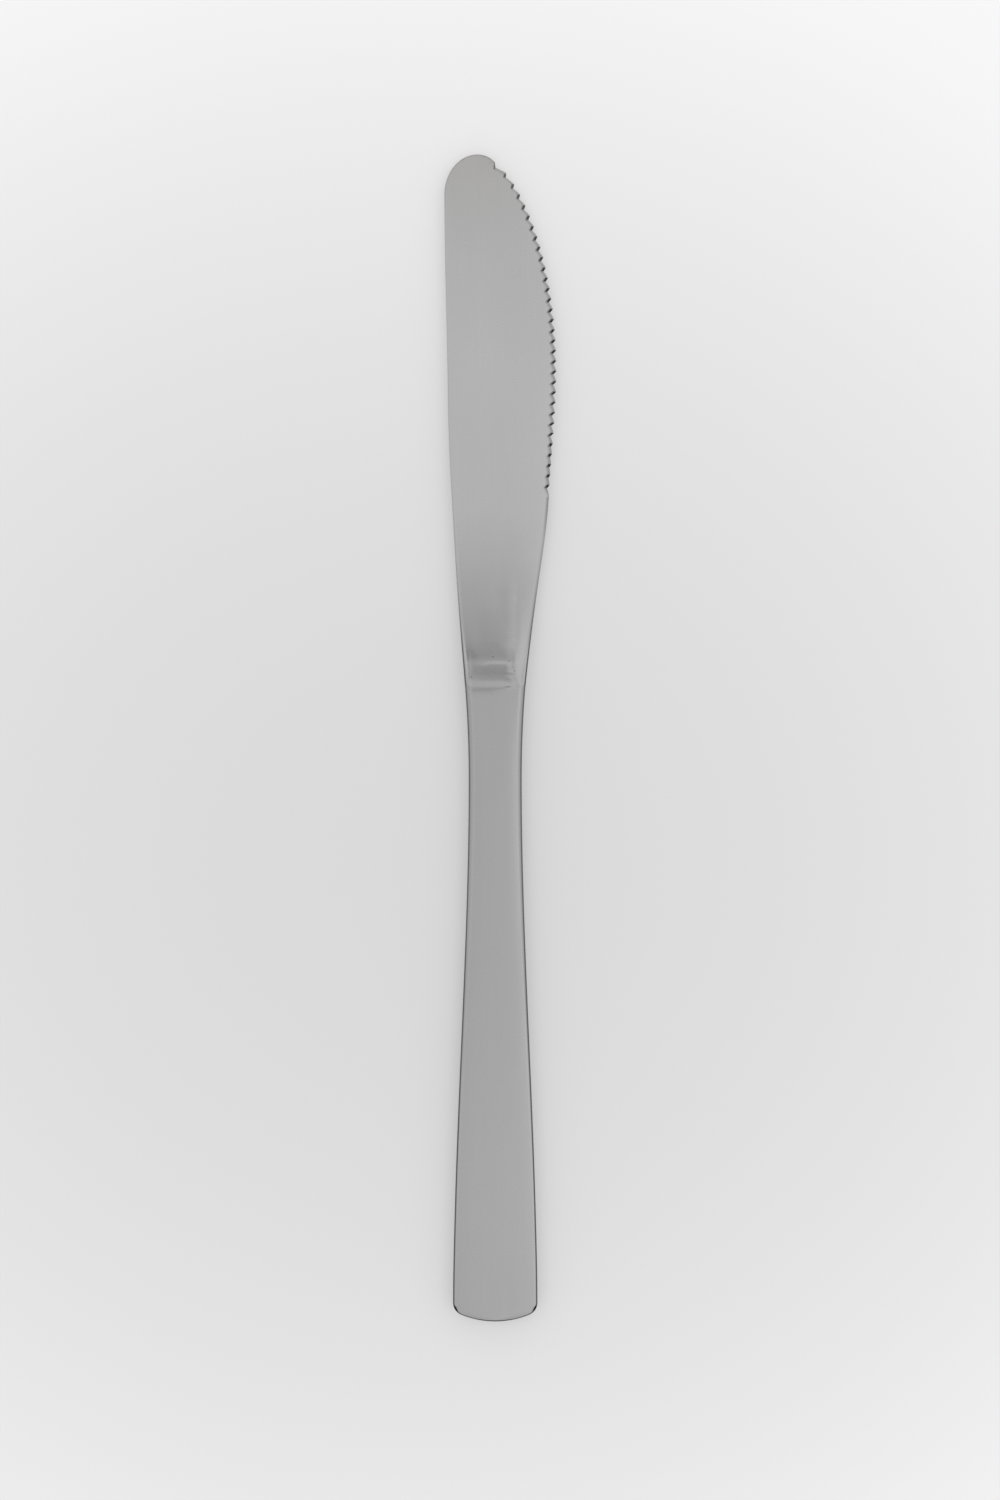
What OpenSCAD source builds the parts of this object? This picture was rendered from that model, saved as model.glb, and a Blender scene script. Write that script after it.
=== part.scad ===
// Table knife: a forged blade with a stepped bolster and a serrated edge,
// in a hollow handle of two pressed shells filled with cement.
// X runs across the blade toward the cutting edge, Y along the knife toward the tip, Z up.
// The knife lies on the back face of its handle, and the origin is the middle of that face.

/* [Handle] */
// Length of the handle, from the bolster to the butt
handle_len = 119; // [105:0.5:135]
// Thickness of the handle between its flat faces
handle_t = 5.4; // [4.6:0.1:6.4]
// Width where the handle meets the bolster
joint_w = 11.3; // [10.4:0.1:13]
// Width of the neck, the narrowest place
neck_w = 10; // [9.6:0.1:11]
// Distance of the neck from the bolster
neck_y = 17; // [12:0.5:24]
// Width of the handle at the butt
butt_w = 15.9; // [13:0.1:18]
// Radius of the arc that ends the butt
butt_r = 17; // [14:0.5:30]
// Radius of the butt's two corners
butt_corner_r = 2.5; // [2:0.1:4]
// Rounding along the handle's edges
edge_r = 1.2; // [1:0.05:1.5]
// Wall of the pressed shells
wall_t = 0.8; // [0.6:0.05:0.9]

/* [Blade] */
// Length of the blade, from the handle to the tip
blade_len = 101; // [95:0.5:112]
// Thickness at the spine where the bolster's ramp ends
blade_t = 1.9; // [1.5:0.1:2.4]
// Thickness at the spine beside the tip
tip_t = 1.1; // [0.9:0.1:1.4]
// Thickness of the cutting edge
cut_t = 0.5; // [0.4:0.05:0.7]
// Reach of the cutting edge from the middle line where the blade is widest
cut_reach = 11.55; // [10.5:0.05:13]
// Distance of the blade's widest place from the handle
belly_y = 60; // [55:0.5:64]
// Distance of the tip from the middle line, toward the spine
tip_x = 3.35; // [2.5:0.05:4]
// Width of the nose's curve on the spine's side
nose_back_w = 6; // [5.4:0.05:6.6]
// Length of that curve along the knife
nose_back_len = 7.6; // [6:0.1:9]
// Radius of the nose on the cutting side
nose_front_r = 3.15; // [2.8:0.05:3.6]
// Rounding along the spine
spine_r = 0.45; // [0.35:0.05:0.5]

/* [Bolster] */
// Length of the ramp from the handle down to the blade
ramp_len = 25; // [20:0.5:30]
// Length of the steps at the ramp's head
steps_len = 5.8; // [4.5:0.1:7]
// Rounding along the spine beside the steps
bolster_r = 1.5; // [1.2:0.05:1.6]
// Width of the smooth margin beside the steps, on the cutting side
margin_w = 2.7; // [2:0.1:3.2]

/* [Serration] */
// Number of notches along the edge
notch_count = 32; // [24:1:32]
// Distance between notches, along the knife
notch_pitch = 1.957; // [1.9:0.001:2.1]
// Depth of the notches
notch_depth = 0.6; // [0.4:0.05:0.7]
// Number of shallower notches at the handle's end of the row
shallow_count = 5; // [0:1:8]
// Depth of the shallower notches
shallow_depth = 0.35; // [0.2:0.05:0.4]
// Width of the ground slope that shows on the front face
notch_slope_w = 0.22; // [0.1:0.02:0.3]
// Distance of the first notch from the nose's arc
first_notch_gap = 0.65; // [0.4:0.05:1.5]
// Width of the land that is left on the point of each tooth
tooth_land = 0.12; // [0.08:0.02:0.3]

/* [Tang] */
// Length of the spigot that seats in the handle's mouth
spigot_len = 3; // [2:0.1:5]
// Length of the tang past the spigot
tang_len = 46; // [30:1:60]
// Width of the tang at the spigot
tang_w = 5.6; // [4.5:0.1:6.4]
// Width of the tang at its end
tang_end_w = 3.8; // [3:0.1:4.2]
// Thickness of the tang
tang_t = 2; // [1.6:0.1:2.4]
// Radius of the bites in the tang's sides that the cement grips
bite_r = 0.8; // [0.6:0.05:1]
// Depth of the bites
bite_depth = 0.55; // [0.4:0.05:0.55]
// Number of bites along each side of the tang
bite_count = 3; // [1:1:4]
// Clearance of the spigot and the cement from what is round them
seat_gap = 0.04; // [0.02:0.01:0.06]

/* [Hidden] */

// Curves of the outline as knots of place, value and slope against the mean slope.
// The handle's side swells from the neck to the butt's corners.
swell_shares = [[0, 0, 0], [0.821, 0.888, 0.91], [1, 1, 0]];
// The spine runs from the joint to the nose.
spine_shares = [[0, 0, 1.95], [0.268, 0.481, 1.36], [0.589, 0.83, 0.27], [1, 1, 0]];
// The cutting edge runs from the joint to the widest place.
cut_shares = [[0, 0, 1.02], [0.367, 0.468, 1.5], [0.608, 0.758, 0.56], [1, 1, 0]];
// From there to the nose it is an ellipse squared off by these two powers.
belly_powers = [2.1, 0.72];
// Angle through which the nose's arc turns on the cutting side
nose_turn = 62;
// The bolster's steps as places along them and shares of the rise from blade to handle
step_shares = [[0, 1], [0.05, 0.95], [0.12, 0.99], [0.38, 0.975], [0.45, 0.94],
               [0.8, 0.81], [0.86, 0.8], [0.92, 0.815], [1, 0.79]];
// The ramp and the margin beside it ease down to the blade with these powers.
ramp_power = 2.3;
margin_power = 1.7;
// Roundness of the section toward the cutting edge, at the handle and on the blade
section_powers = [2, 1.2];
// Widest share of the blade that its slope toward the cutting edge takes
slope_share = 0.56;
// Most of the blade's width that the rounding of the spine takes
spine_round_share = 0.3;
// Share of the steps over which the bolster's own edges take over from the handle's
takeover_share = 0.12;
// Share of the notch pitch that a tooth's long flank takes
long_flank_share = 0.68;
// Width of the flat that ends the nose
tip_flat = 0.5;
// Width of the shoulder between the steps and the margin
shoulder_w = 0.25;
// Depth by which joined bodies run into each other, and by which cutters pass what they cut
sink = 0.4;
overrun = 1;
// Length over which a slope is measured
slope_step = 0.02;

spine_end_y = blade_len - nose_back_len;
spine_reach = tip_x + tip_flat / 2 + nose_back_w;
nose_arc_y = blade_len - nose_front_r;
nose_end_y = nose_arc_y + nose_front_r * cos(nose_turn);
nose_end_x = nose_front_r * sin(nose_turn) + tip_flat / 2 - tip_x;
cut_thin_y = nose_end_y - first_notch_gap - notch_count * notch_pitch;
corner_x = butt_w / 2 - butt_corner_r;
corner_y = handle_len - butt_r + sqrt(pow(butt_r - butt_corner_r, 2) - pow(corner_x, 2));
corner_turn = asin(corner_x / (butt_r - butt_corner_r));
mid_z = handle_t / 2;
inner_r = edge_r - wall_t;
seat_inset = wall_t + seat_gap;

// How finely the curved surfaces are divided
side_steps = 22;
corner_steps = 5;
arc_steps = 7;
round_steps = 4;
face_steps = 4;
margin_steps = 6;
ramp_steps = 10;
heel_steps = 11;
belly_steps = 14;
nose_steps = 12;

// Smooth curve between two values, from the slopes at its ends
function hermite(t, a, b, slope_a, slope_b) =
    a * (2 * pow(t, 3) - 3 * pow(t, 2) + 1) + b * (3 * pow(t, 2) - 2 * pow(t, 3))
    + slope_a * (pow(t, 3) - 2 * pow(t, 2) + t) + slope_b * (pow(t, 3) - pow(t, 2));

// Smooth curve through knots of place, value and slope
function through(knots, s, i = 0) =
    i < len(knots) - 2 && s > knots[i + 1][0] ? through(knots, s, i + 1) :
    let (a = knots[i], b = knots[i + 1], span = b[0] - a[0])
    hermite((s - a[0]) / span, a[1], b[1], a[2] * span, b[2] * span);

// Soft change from a to b while y goes from y0 to y1
function ease(y, y0, y1, a, b) =
    let (t = min(max((y - y0) / (y1 - y0), 0), 1))
    a + (b - a) * t * t * (3 - 2 * t);

// What is left of a rise at a distance y, when it eases out at y1
function remains(y, y1, power) = pow(max(1 - y / y1, 0), power);

function reversed(list) = [for (i = [len(list) - 1 : -1 : 0]) list[i]];

// Half the width of the handle at a distance from the joint
function handle_half(d) =
    d < neck_y ? neck_w / 2 + (joint_w - neck_w) / 2 * pow(1 - d / neck_y, 2) :
    neck_w / 2 + (butt_w - neck_w) / 2 * through(swell_shares, (d - neck_y) / (corner_y - neck_y));

// Points along one side of the handle, moved inward by an inset
function side_points(inset, d0, d1) = [
    for (i = [0 : side_steps])
        let (d = d0 + (d1 - d0) * i / side_steps,
             turn = atan((handle_half(d) - handle_half(d - slope_step)) / slope_step))
        [handle_half(d) - inset * cos(turn), i == 0 ? -d : -d - inset * sin(turn)]
];

// Points on round the butt: its corner, then its arc as far as the middle line
function butt_points(inset) = concat(
    [for (i = [1 : corner_steps]) let (a = (90 - corner_turn) * i / corner_steps)
        [corner_x, -corner_y] + (butt_corner_r - inset) * [cos(a), -sin(a)]],
    [for (i = [1 : arc_steps]) let (a = corner_turn * (1 - i / arc_steps))
        [0, butt_r - handle_len] + (butt_r - inset) * [sin(a), -cos(a)]]);

// Outline of the handle behind a distance from the joint, moved inward but at its front end
function handle_ring(inset, d0) =
    let (half = concat(side_points(inset, d0, corner_y), butt_points(inset)))
    concat(half, [for (i = [len(half) - 2 : -1 : 0]) [-half[i][0], half[i][1]]]);

// Outline of a short length of the handle
function block_ring(inset, d0, d1) =
    let (half = side_points(inset, d0, d1))
    concat(half, [for (p = reversed(half)) [-p[0], p[1]]]);

// Heights and insets of the layers that round a flat body's lower or upper edge
function lower_layers(z, inset, r) = [
    for (i = [0 : round_steps]) let (a = 90 * i / round_steps)
        [z + r * (1 - cos(a)), inset + r * (1 - sin(a))]
];
function upper_layers(z, inset, r) = [
    for (layer = reversed(lower_layers(0, inset, r))) [z - layer[0], layer[1]]
];
function slab_layers(z0, z1, inset, r) = concat(lower_layers(z0, inset, r), upper_layers(z1, inset, r));

// A closed body through rings that run clockwise, seen from the end that they climb toward
module skin(rings) {
    n = len(rings[0]);
    last = len(rings) - 1;
    walls = [
        for (k = [0 : last - 1]) for (i = [0 : n - 1])
            let (a = k * n + i, b = k * n + (i + 1) % n)
            each [[a, b, a + n], [b, b + n, a + n]]
    ];
    caps = [[for (i = [n - 1 : -1 : 0]) i], [for (i = [0 : n - 1]) last * n + i]];
    polyhedron([for (ring = rings) each ring], concat(walls, caps));
}

// A body with the handle's outline from a distance behind the joint, in layers
module handle_body(layers, d0) {
    skin([for (layer = layers) [for (p = handle_ring(layer[1], d0)) [p[0], p[1], layer[0]]]]);
}

// Reach of the spine and of the cutting edge at a distance from the joint
function spine_x(y) =
    y < spine_end_y ? joint_w / 2 + (spine_reach - joint_w / 2) * through(spine_shares, y / spine_end_y) :
    tip_x + tip_flat / 2 + nose_back_w * sqrt(max(1 - pow((y - spine_end_y) / nose_back_len, 2), 0));
function cut_x(y) =
    y < belly_y ? joint_w / 2 + (cut_reach - joint_w / 2) * through(cut_shares, y / belly_y) :
    y < nose_end_y ? nose_end_x + (cut_reach - nose_end_x) * belly((y - belly_y) / (nose_end_y - belly_y)) :
    tip_flat / 2 - tip_x + sqrt(max(pow(nose_front_r, 2) - pow(y - nose_arc_y, 2), 0));
function belly(s) = pow(1 - pow(s, belly_powers[0]), belly_powers[1]);

// Half thicknesses along the blade: plain, in the steps and the ramp, in the margin, at the cutting edge
function plain_half(y) = ease(y, ramp_len, blade_len, blade_t, tip_t) / 2;
function rise(share) = (handle_t - blade_t) / 2 * share;
function face_half(y) = plain_half(y) + rise(
    y < steps_len ? lookup(y / steps_len, step_shares) :
    step_shares[len(step_shares) - 1][1] * remains(y - steps_len, ramp_len - steps_len, ramp_power));
function margin_half(y) = plain_half(y) + rise(remains(y, ramp_len, margin_power));
function cut_half(y) = ease(y, 0, cut_thin_y, mid_z - edge_r, cut_t / 2);

// Rounding of the spine, and width and roundness of the slope toward the cutting edge
function spine_round(y) = min(
    y < steps_len * takeover_share ? ease(y, 0, steps_len * takeover_share, edge_r, bolster_r) :
    ease(y, steps_len * takeover_share, cut_thin_y, bolster_r, spine_r),
    (spine_x(y) + cut_x(y)) * spine_round_share);
function slope_w(y) = min(
    ease(y, 0, steps_len * takeover_share, edge_r, margin_w)
    + ease(y, steps_len, cut_thin_y, 0, cut_reach),
    (spine_x(y) + cut_x(y)) * slope_share);
function slope_power(y) = ease(y, 0, ramp_len, section_powers[0], section_powers[1]);

// Section of the blade: its front half from the spine to the cutting edge, as places and heights
function half_section(y) =
    let (r = spine_round(y),
         x0 = r - spine_x(y),
         w = slope_w(y),
         x1 = cut_x(y) - w,
         shoulder = min(shoulder_w, (x1 - x0) / face_steps),
         top = face_half(y),
         low = cut_half(y),
         p = slope_power(y))
    concat(
        [for (i = [0 : round_steps]) let (a = 90 * i / round_steps)
            [x0 - r * cos(a), top - r * (1 - sin(a))]],
        [for (i = [1 : face_steps]) [x0 + (x1 - shoulder - x0) * i / face_steps, top]],
        [for (i = [0 : margin_steps]) let (v = sin(90 * i / margin_steps))
            [x1 + w * v, low + (margin_half(y) - low) * pow(1 - pow(v, p), 1 / p)]]);

function blade_ring(y) =
    let (half = half_section(y))
    concat([for (p = reversed(half)) [p[0], y, mid_z + p[1]]], [for (p = half) [p[0], y, mid_z - p[1]]]);

// Places along the blade where it has a ring
blade_places = concat(
    [for (knot = step_shares) steps_len * knot[0]],
    [for (i = [1 : ramp_steps]) steps_len + (ramp_len - steps_len) * i / ramp_steps],
    [for (i = [1 : heel_steps]) ramp_len + (belly_y - ramp_len) * i / heel_steps],
    [for (i = [1 : belly_steps]) belly_y + (spine_end_y - belly_y) * i / belly_steps],
    [for (i = [1 : nose_steps]) spine_end_y + nose_back_len * sin(90 * i / nose_steps)]);

// Lean of the cutting edge, and where the short flank of the notch at y comes out on it: the flank's
// run is measured along the edge, so that every tooth has the same point
function edge_lean(y) = (cut_x(y + slope_step) - cut_x(y - slope_step)) / (2 * slope_step);
function tooth_point(y) =
    y + (notch_pitch - tooth_land) * (1 - long_flank_share) / norm([1, edge_lean(y)]);

// One notch of the serration, ground from the front: its walls lean outward toward the front face
module notch(y, depth) {
    place = [cut_x(y), y];
    out = [1, -edge_lean(y)] / norm([1, edge_lean(y)]);
    tip_y = tooth_point(y);
    heel_y = tooth_point(y - notch_pitch) + tooth_land;
    corners = [[cut_x(tip_y), tip_y], place - depth * out, [cut_x(heel_y), heel_y]];
    mouth = [corners[0] + overrun * out, corners[2] + overrun * out];
    outline = concat(corners, mouth);
    hull() {
        for (side = [-1, 1])
            let (shift = notch_slope_w * (side + 1 / 2))
            translate([-shift * out[0], -shift * out[1], mid_z + side * cut_t])
                linear_extrude(sink * cut_t)
                    polygon(outline);
    }
}

// Outline of the tang, with the cement's bites in its sides
module tang_outline() {
    end_d = spigot_len + tang_len - tang_end_w / 2;
    difference() {
        union() {
            polygon([
                [-tang_w / 2, sink - spigot_len], [tang_w / 2, sink - spigot_len],
                [tang_end_w / 2, -end_d], [-tang_end_w / 2, -end_d]
            ]);
            translate([0, -end_d])
                circle(tang_end_w / 2, $fn = 32);
        }
        for (i = [1 : bite_count])
            let (share = i / (bite_count + 1),
                 half = (tang_w + (tang_end_w - tang_w) * share) / 2)
            for (side = [-1, 1])
                translate([side * (half + bite_r - bite_depth), -spigot_len - tang_len * share])
                    circle(bite_r, $fn = 24);
    }
}

// The tang, made larger all round by a gap
module tang(gap) {
    translate([0, 0, mid_z - tang_t / 2 - gap])
        linear_extrude(tang_t + 2 * gap)
            offset(delta = gap)
                tang_outline();
}

// The short block behind the bolster that the shells' mouth closes round
module spigot() {
    layers = slab_layers(seat_inset, handle_t - seat_inset, seat_inset, inner_r);
    skin([for (layer = layers) [for (p = block_ring(layer[1], -sink, spigot_len)) [p[0], p[1], layer[0]]]]);
}

module blade() {
    color("silver")
        union() {
            difference() {
                skin([for (y = blade_places) blade_ring(y)]);
                for (i = [0 : notch_count - 1])
                    notch(nose_end_y - first_notch_gap - notch_pitch * i,
                          i < notch_count - shallow_count ? notch_depth : shallow_depth);
            }
            spigot();
            tang(0);
        }
}

// Pressed half of the hollow handle, open at its mouth. Its lines run from the mouth to the middle
// of the butt, where those of the two sides meet. Round its section they go from the right seam
// over the outside to the left seam, and back along the inside.
module shell() {
    outside = concat([[mid_z, 0]], upper_layers(handle_t, 0, edge_r));
    inside = concat([[mid_z, wall_t]], upper_layers(handle_t - wall_t, wall_t, inner_r));
    lines = [
        for (layer = concat(outside, inside))
            let (half = concat(side_points(layer[1], 0, corner_y), butt_points(layer[1])))
            [for (p = half) [p[0], p[1], layer[0]]]
    ];
    n = len(outside);
    rows = len(lines[0]);
    loop = concat(
        [for (i = [0 : n - 1]) [1, i]], [for (i = [n - 1 : -1 : 0]) [-1, i]],
        [for (i = [n : 2 * n - 1]) [-1, i]], [for (i = [2 * n - 1 : -1 : n]) [1, i]]);
    function id(place, row) =
        place[0] > 0 || row == rows - 1 ? place[1] * rows + row : (2 * n + place[1]) * rows + row;
    walls = [
        for (k = [0 : len(loop) - 1]) for (row = [0 : rows - 2])
            let (a = id(loop[k], row), b = id(loop[(k + 1) % len(loop)], row),
                 c = id(loop[k], row + 1), d = id(loop[(k + 1) % len(loop)], row + 1))
            each concat([[b, a, c]], c == d ? [] : [[d, b, c]])
    ];
    mouth = [
        for (k = [0 : 2 * n - 2])
            let (a = id(loop[k], 0), b = id(loop[k + 1], 0),
                 c = id(loop[4 * n - 1 - k], 0), d = id(loop[4 * n - 2 - k], 0))
            each [[a, b, c], [b, d, c]]
    ];
    polyhedron(
        concat([for (line = lines) each line], [for (line = lines) for (p = line) [-p[0], p[1], p[2]]]),
        concat(walls, mouth));
}

module handle_front_shell() {
    color("lightgrey")
        shell();
}

module handle_back_shell() {
    color("darkgrey")
        translate([0, 0, handle_t])
            mirror([0, 0, 1])
                shell();
}

module handle_core() {
    layers = slab_layers(seat_inset, handle_t - seat_inset, seat_inset, inner_r);
    color("tan")
        difference() {
            handle_body(layers, spigot_len + seat_gap);
            tang(seat_gap);
        }
}

translate([0, handle_len / 2, 0]) {
    blade();
    handle_front_shell();
    handle_back_shell();
    handle_core();
}
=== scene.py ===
"""Table knife in satin steel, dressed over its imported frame.

X runs across the blade toward the cutting edge, Y along the knife toward the tip and Z up out of the
front face. Inside the shape functions Y is measured from the joint between the bolster and the handle.
"""

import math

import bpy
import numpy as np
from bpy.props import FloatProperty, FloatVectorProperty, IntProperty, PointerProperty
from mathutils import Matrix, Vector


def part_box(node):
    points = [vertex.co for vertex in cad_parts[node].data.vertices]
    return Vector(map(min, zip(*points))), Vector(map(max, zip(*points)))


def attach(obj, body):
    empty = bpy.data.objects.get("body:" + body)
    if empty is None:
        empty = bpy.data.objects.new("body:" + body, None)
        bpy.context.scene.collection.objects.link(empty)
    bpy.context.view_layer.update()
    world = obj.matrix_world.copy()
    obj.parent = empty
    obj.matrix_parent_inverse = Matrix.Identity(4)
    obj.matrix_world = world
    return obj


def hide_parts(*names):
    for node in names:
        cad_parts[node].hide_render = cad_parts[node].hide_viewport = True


bl_info = {
    "name": "Table knife",
    "version": (1, 0, 0),
    "blender": (4, 5, 0),
    "location": "3D View > Sidebar > Table knife",
    "description": "Builds a satin steel table knife with a serrated edge over its CAD frame",
    "category": "Add Mesh",
}

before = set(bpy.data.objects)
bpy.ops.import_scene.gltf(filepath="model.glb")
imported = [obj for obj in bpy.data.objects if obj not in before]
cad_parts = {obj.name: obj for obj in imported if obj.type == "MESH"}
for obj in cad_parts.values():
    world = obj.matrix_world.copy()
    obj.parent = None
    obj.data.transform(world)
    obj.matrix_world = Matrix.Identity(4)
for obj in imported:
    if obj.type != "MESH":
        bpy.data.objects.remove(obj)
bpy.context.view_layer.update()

MM = 0.001
BLADE_LOW, BLADE_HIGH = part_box("blade")
BACK_LOW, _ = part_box("handle_back_shell")
_, FRONT_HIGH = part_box("handle_front_shell")
JOINT_Y = FRONT_HIGH.y
HANDLE_LEN = JOINT_Y - BACK_LOW.y
HANDLE_T = FRONT_HIGH.z - BACK_LOW.z
MID_Z = (FRONT_HIGH.z + BACK_LOW.z) / 2
BLADE_LEN = BLADE_HIGH.y - JOINT_Y
BUTT_W = FRONT_HIGH.x - BACK_LOW.x

# Outline curves as knots of place, value and slope against the mean slope
SWELL = [(0, 0, 0), (0.821, 0.888, 0.91), (1, 1, 0)]
SPINE = [(0, 0, 1.95), (0.268, 0.481, 1.36), (0.589, 0.83, 0.27), (1, 1, 0)]
CUT = [(0, 0, 1.02), (0.367, 0.468, 1.5), (0.608, 0.758, 0.56), (1, 1, 0)]
# Powers of the squared off ellipse that the serrated edge follows
BELLY_POWERS = (2.1, 0.72)
# Angle round the nose, from the tip, at which the serrated edge starts
NOSE_TURN = math.radians(62)
# Angle between two faces of a mesh from which the edge between them is sharp
SHARP_ANGLE = math.radians(38)
# Steps to a metre on which points coincide, and steps in which a fall is summed up
WELD_STEPS, FALL_STEPS = 1e7, 3000

# The sizes and tables from here on are in mm. Places along the knife run from the joint toward the tip,
# and places across it toward the cutting edge.

# Steepness of the fall from the handle's face to the blade's: in the steps and ramp, and in the margin
STEP_FALL = [(0, 0.14), (0.3, 0.14), (0.5, 0.05), (0.8, 0), (1.2, -0.01), (1.5, 0.065), (1.75, 0.13),
             (2, 0.15), (2.3, 0.165), (2.65, 0.175), (3, 0.2), (3.8, 0.19), (4.5, 0.165), (4.9, 0.12),
             (5.3, 0.12), (5.7, 0.15), (6.04, 0.165), (6.42, 0.18), (7.5, 0.165), (8.5, 0.15), (9.4, 0.132),
             (13.2, 0.1), (17, 0.065), (20.8, 0.045), (24.5, 0.02), (28, 0.01), (34, 0)]
MARGIN_FALL = [(0, 0.05), (3, 0.07), (6, 0.09), (10, 0.1), (14, 0.085), (20, 0.055), (26, 0.035), (34, 0)]
# Right end of the steps across the knife, and its softness, by place along it
STEP_REACH = [(0, 2.3), (0.35, 2.75), (0.9, 3.12), (1.8, 3.17), (2.3, 2.95), (2.6, 2.75), (3.1, 2.95),
              (3.7, 2.7), (4.4, 2.85), (5.2, 2.85), (6, 2.9), (12, 2.6), (34, 2)]
STEP_SOFTNESS = [(0, 0.2), (1.6, 0.25), (2.3, 0.45), (3, 0.8), (5.2, 0.9), (6.5, 1.3), (9, 2.2), (34, 2.4)]
# Shift by which the first step closes to a point at that end, and the places across between which it sets in.
# Along the knife it changes its way, eases to a share and fades between the pairs of places.
STEP_TURN, TURN_ACROSS = 0.45, (1.3, 2.9)
TURN_CHANGES, TURN_EASES, TURN_SHARE, TURN_FADES = (0.3, 1.1), (2, 3), 0.6, (6, 12)
# Groove in which the handle's face ends: its depth, its length on the handle and on the blade, its two ends
# across the knife, the softness outside and inside the first one, and the place from which it runs out
LIP_DEPTH, LIP_LEN, LIP_FADE, LIP_ENDS, LIP_SOFT, LIP_RUN_OUT = 0.09, 1.6, 20, (-4.75, 3.0), (0.15, 0.3), -1.5
# Small ridge on the steps: its height, where it sets in across the knife, where it lowers to a share of itself,
# and where it starts, is whole and has faded along the knife
RIDGE_H, RIDGE_ACROSS, RIDGE_LOWERS, RIDGE_SHARE = 0.046, (-3.8, -0.6), (0.9, 2.7), 0.4
RIDGE_ALONG = (4.65, 5.45, 16)
# Bend of that ridge toward the handle, by place across
RIDGE_BEND = [(-4, 0.6), (-2.6, 0.4), (-1, 0)]
# Hollow at the ridge's end by the spine: its depth, and its places across and along as the ridge's
HOLLOW_DEPTH, HOLLOW_ACROSS, HOLLOW_ALONG = 0.1, (-5.2, -2.4), (4.7, 7.9, 18)
# Length over which the crown of the handle's face runs out on the bolster
CROWN_FADE = 6
# Fall from the face to the cutting edge: between these places its width grows to the margin's and to twice it.
# Then come its least width, its most against the half width, and its power at the joint and past the ramp.
SLOPE_GROWS, SLOPE_DOUBLES, SLOPE_LEAST, SLOPE_MOST, SLOPE_POWERS = (0, 3), (2.5, 8), 0.001, 1.12, (2, 1.2)
# Length before the nose over which the edge's height turns to the face's, and the share that it reaches
NOSE_FILLS, NOSE_SHARE = 20, 0.9

# Chamfer beside the steps on the spine's side: its width, steepness and painted highlight
CHAMFER_W = [(0, 1.2), (0.6, 1.05), (1.7, 0.95), (3.8, 0.85), (7.5, 0.7), (11.3, 0.5), (20, 0.42), (30, 0.35),
             (38, 0.2), (101, 0.2)]
CHAMFER_FALL = [(0, 0), (1.5, 0.1), (3, 0.22), (9, 0.22), (14, 0.12), (20, 0.08), (38, 0), (101, 0)]
CHAMFER_HIGHLIGHT = [(0, 0), (2, 0.6), (4, 1), (10, 1), (24, 0.6), (36, 0), (101, 0)]
# The handle's edge rounding goes over to the spine's: this share of it over the first length, the rest over
# the second, and on the back all of it over the third. Last is the rounding along the cutting edge.
ROUND_SHARE, ROUND_FADES, CUT_ROUND = 0.75, (1.2, 12, 18), 0.24
# Width of the flat strip beside the rounding on the back
BACK_STRIP = 0.05

# Shares of the handle's length between which its edge rounding changes to the butt's, the share over which its
# shoulder sets in, and the least rounding inside
SHELL_CHANGES, SHOULDER_IN, INNER_R = (0.05, 0.95), 0.12, 0.25
# How far the outline has turned to the butt where a corner starts and where it ends, 1 being all the way
CORNER_STARTS, CORNER_ENDS = (0.1, 0.4), (0.55, 0.85)
# The same where the width of the painted edge shade changes, and where the butt's end is painted darker
RIM_CHANGES, BUTT_END = (0.3, 0.9), (0.97, 1)
# The most of the face's height that the blade's rounding takes: along the spine, and along the cutting edge
# at an inset from its smooth outline and at the rounding's own inner end
SPINE_MOST, CUT_MOST, CUT_INSET, ROW_MOST = 0.9, 0.75, 0.15, 0.95
# Distances of the chamfer's two middle columns, one from the spine and the other from the chamfer's border
STRIP_COLUMNS = (0.34, 0.2)

# Width of the painted edge shade, of the softness past it, and of that shade on the butt and more in its
# corners
RIM_W, RIM_FADE, BUTT_RIM_W, CORNER_RIM_W = 0.2, 0.14, 0.17, 0.14
# Painted shade that the edge gains at the butt's end, and the polish and painted highlight of the
# handle's edges beside it
BUTT_DARK, EDGE_POLISH_AND_HIGHLIGHT = 0.6, 0.3
# Inset from the outline at which that painted shade starts, and the length over which it sets in
DARK_STARTS, DARK_SETS_IN = 0.01, 0.05
# Darkness of the painted edge shade on the blade, on the spine's side and on the cutting side
SPINE_RIM = [(0, 1), (8, 0.85), (13, 0.5), (20, 0.2), (30, 0.12), (90, 0.12), (95, 0.3), (101, 0.35)]
CUT_RIM = [(0, 1), (8, 0.9), (13, 0.7), (20, 0.4), (28, 0.3), (33, 0.55), (60, 0.6), (101, 0.35)]
# Share of the blade's brighter colour along the blade, and beside the steps across and along it: partly its
# finish, partly painted light
FLAT_FINISH_AND_LIGHT = [(14, 0), (34, 0.72), (46, 0.86), (60, 1), (80, 1), (90, 0.84), (101, 0.7)]
MARGIN_ACROSS = [(-3, 0), (0, 0.14), (2, 0.24), (3, 0.74), (3.7, 0.96), (4.4, 0.3), (6.5, 0)]
MARGIN_ALONG = [(0, 0.35), (1.4, 0.5), (1.9, 0.2), (3, 0.25), (3.8, 0.6), (4.6, 0.85), (6, 0.95), (9, 1),
                (17.5, 1), (20, 0.5), (23, 0.15), (26, 0)]
# Share of that brighter colour painted on the handle as light, by distance from the joint toward the butt
HANDLE_PAINTED_LIGHT = [(0, 0), (38, 0), (69, 0.085), (90, 0.15), (100, 0.165), (115, 0.1), (119, 0.09)]
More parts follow.
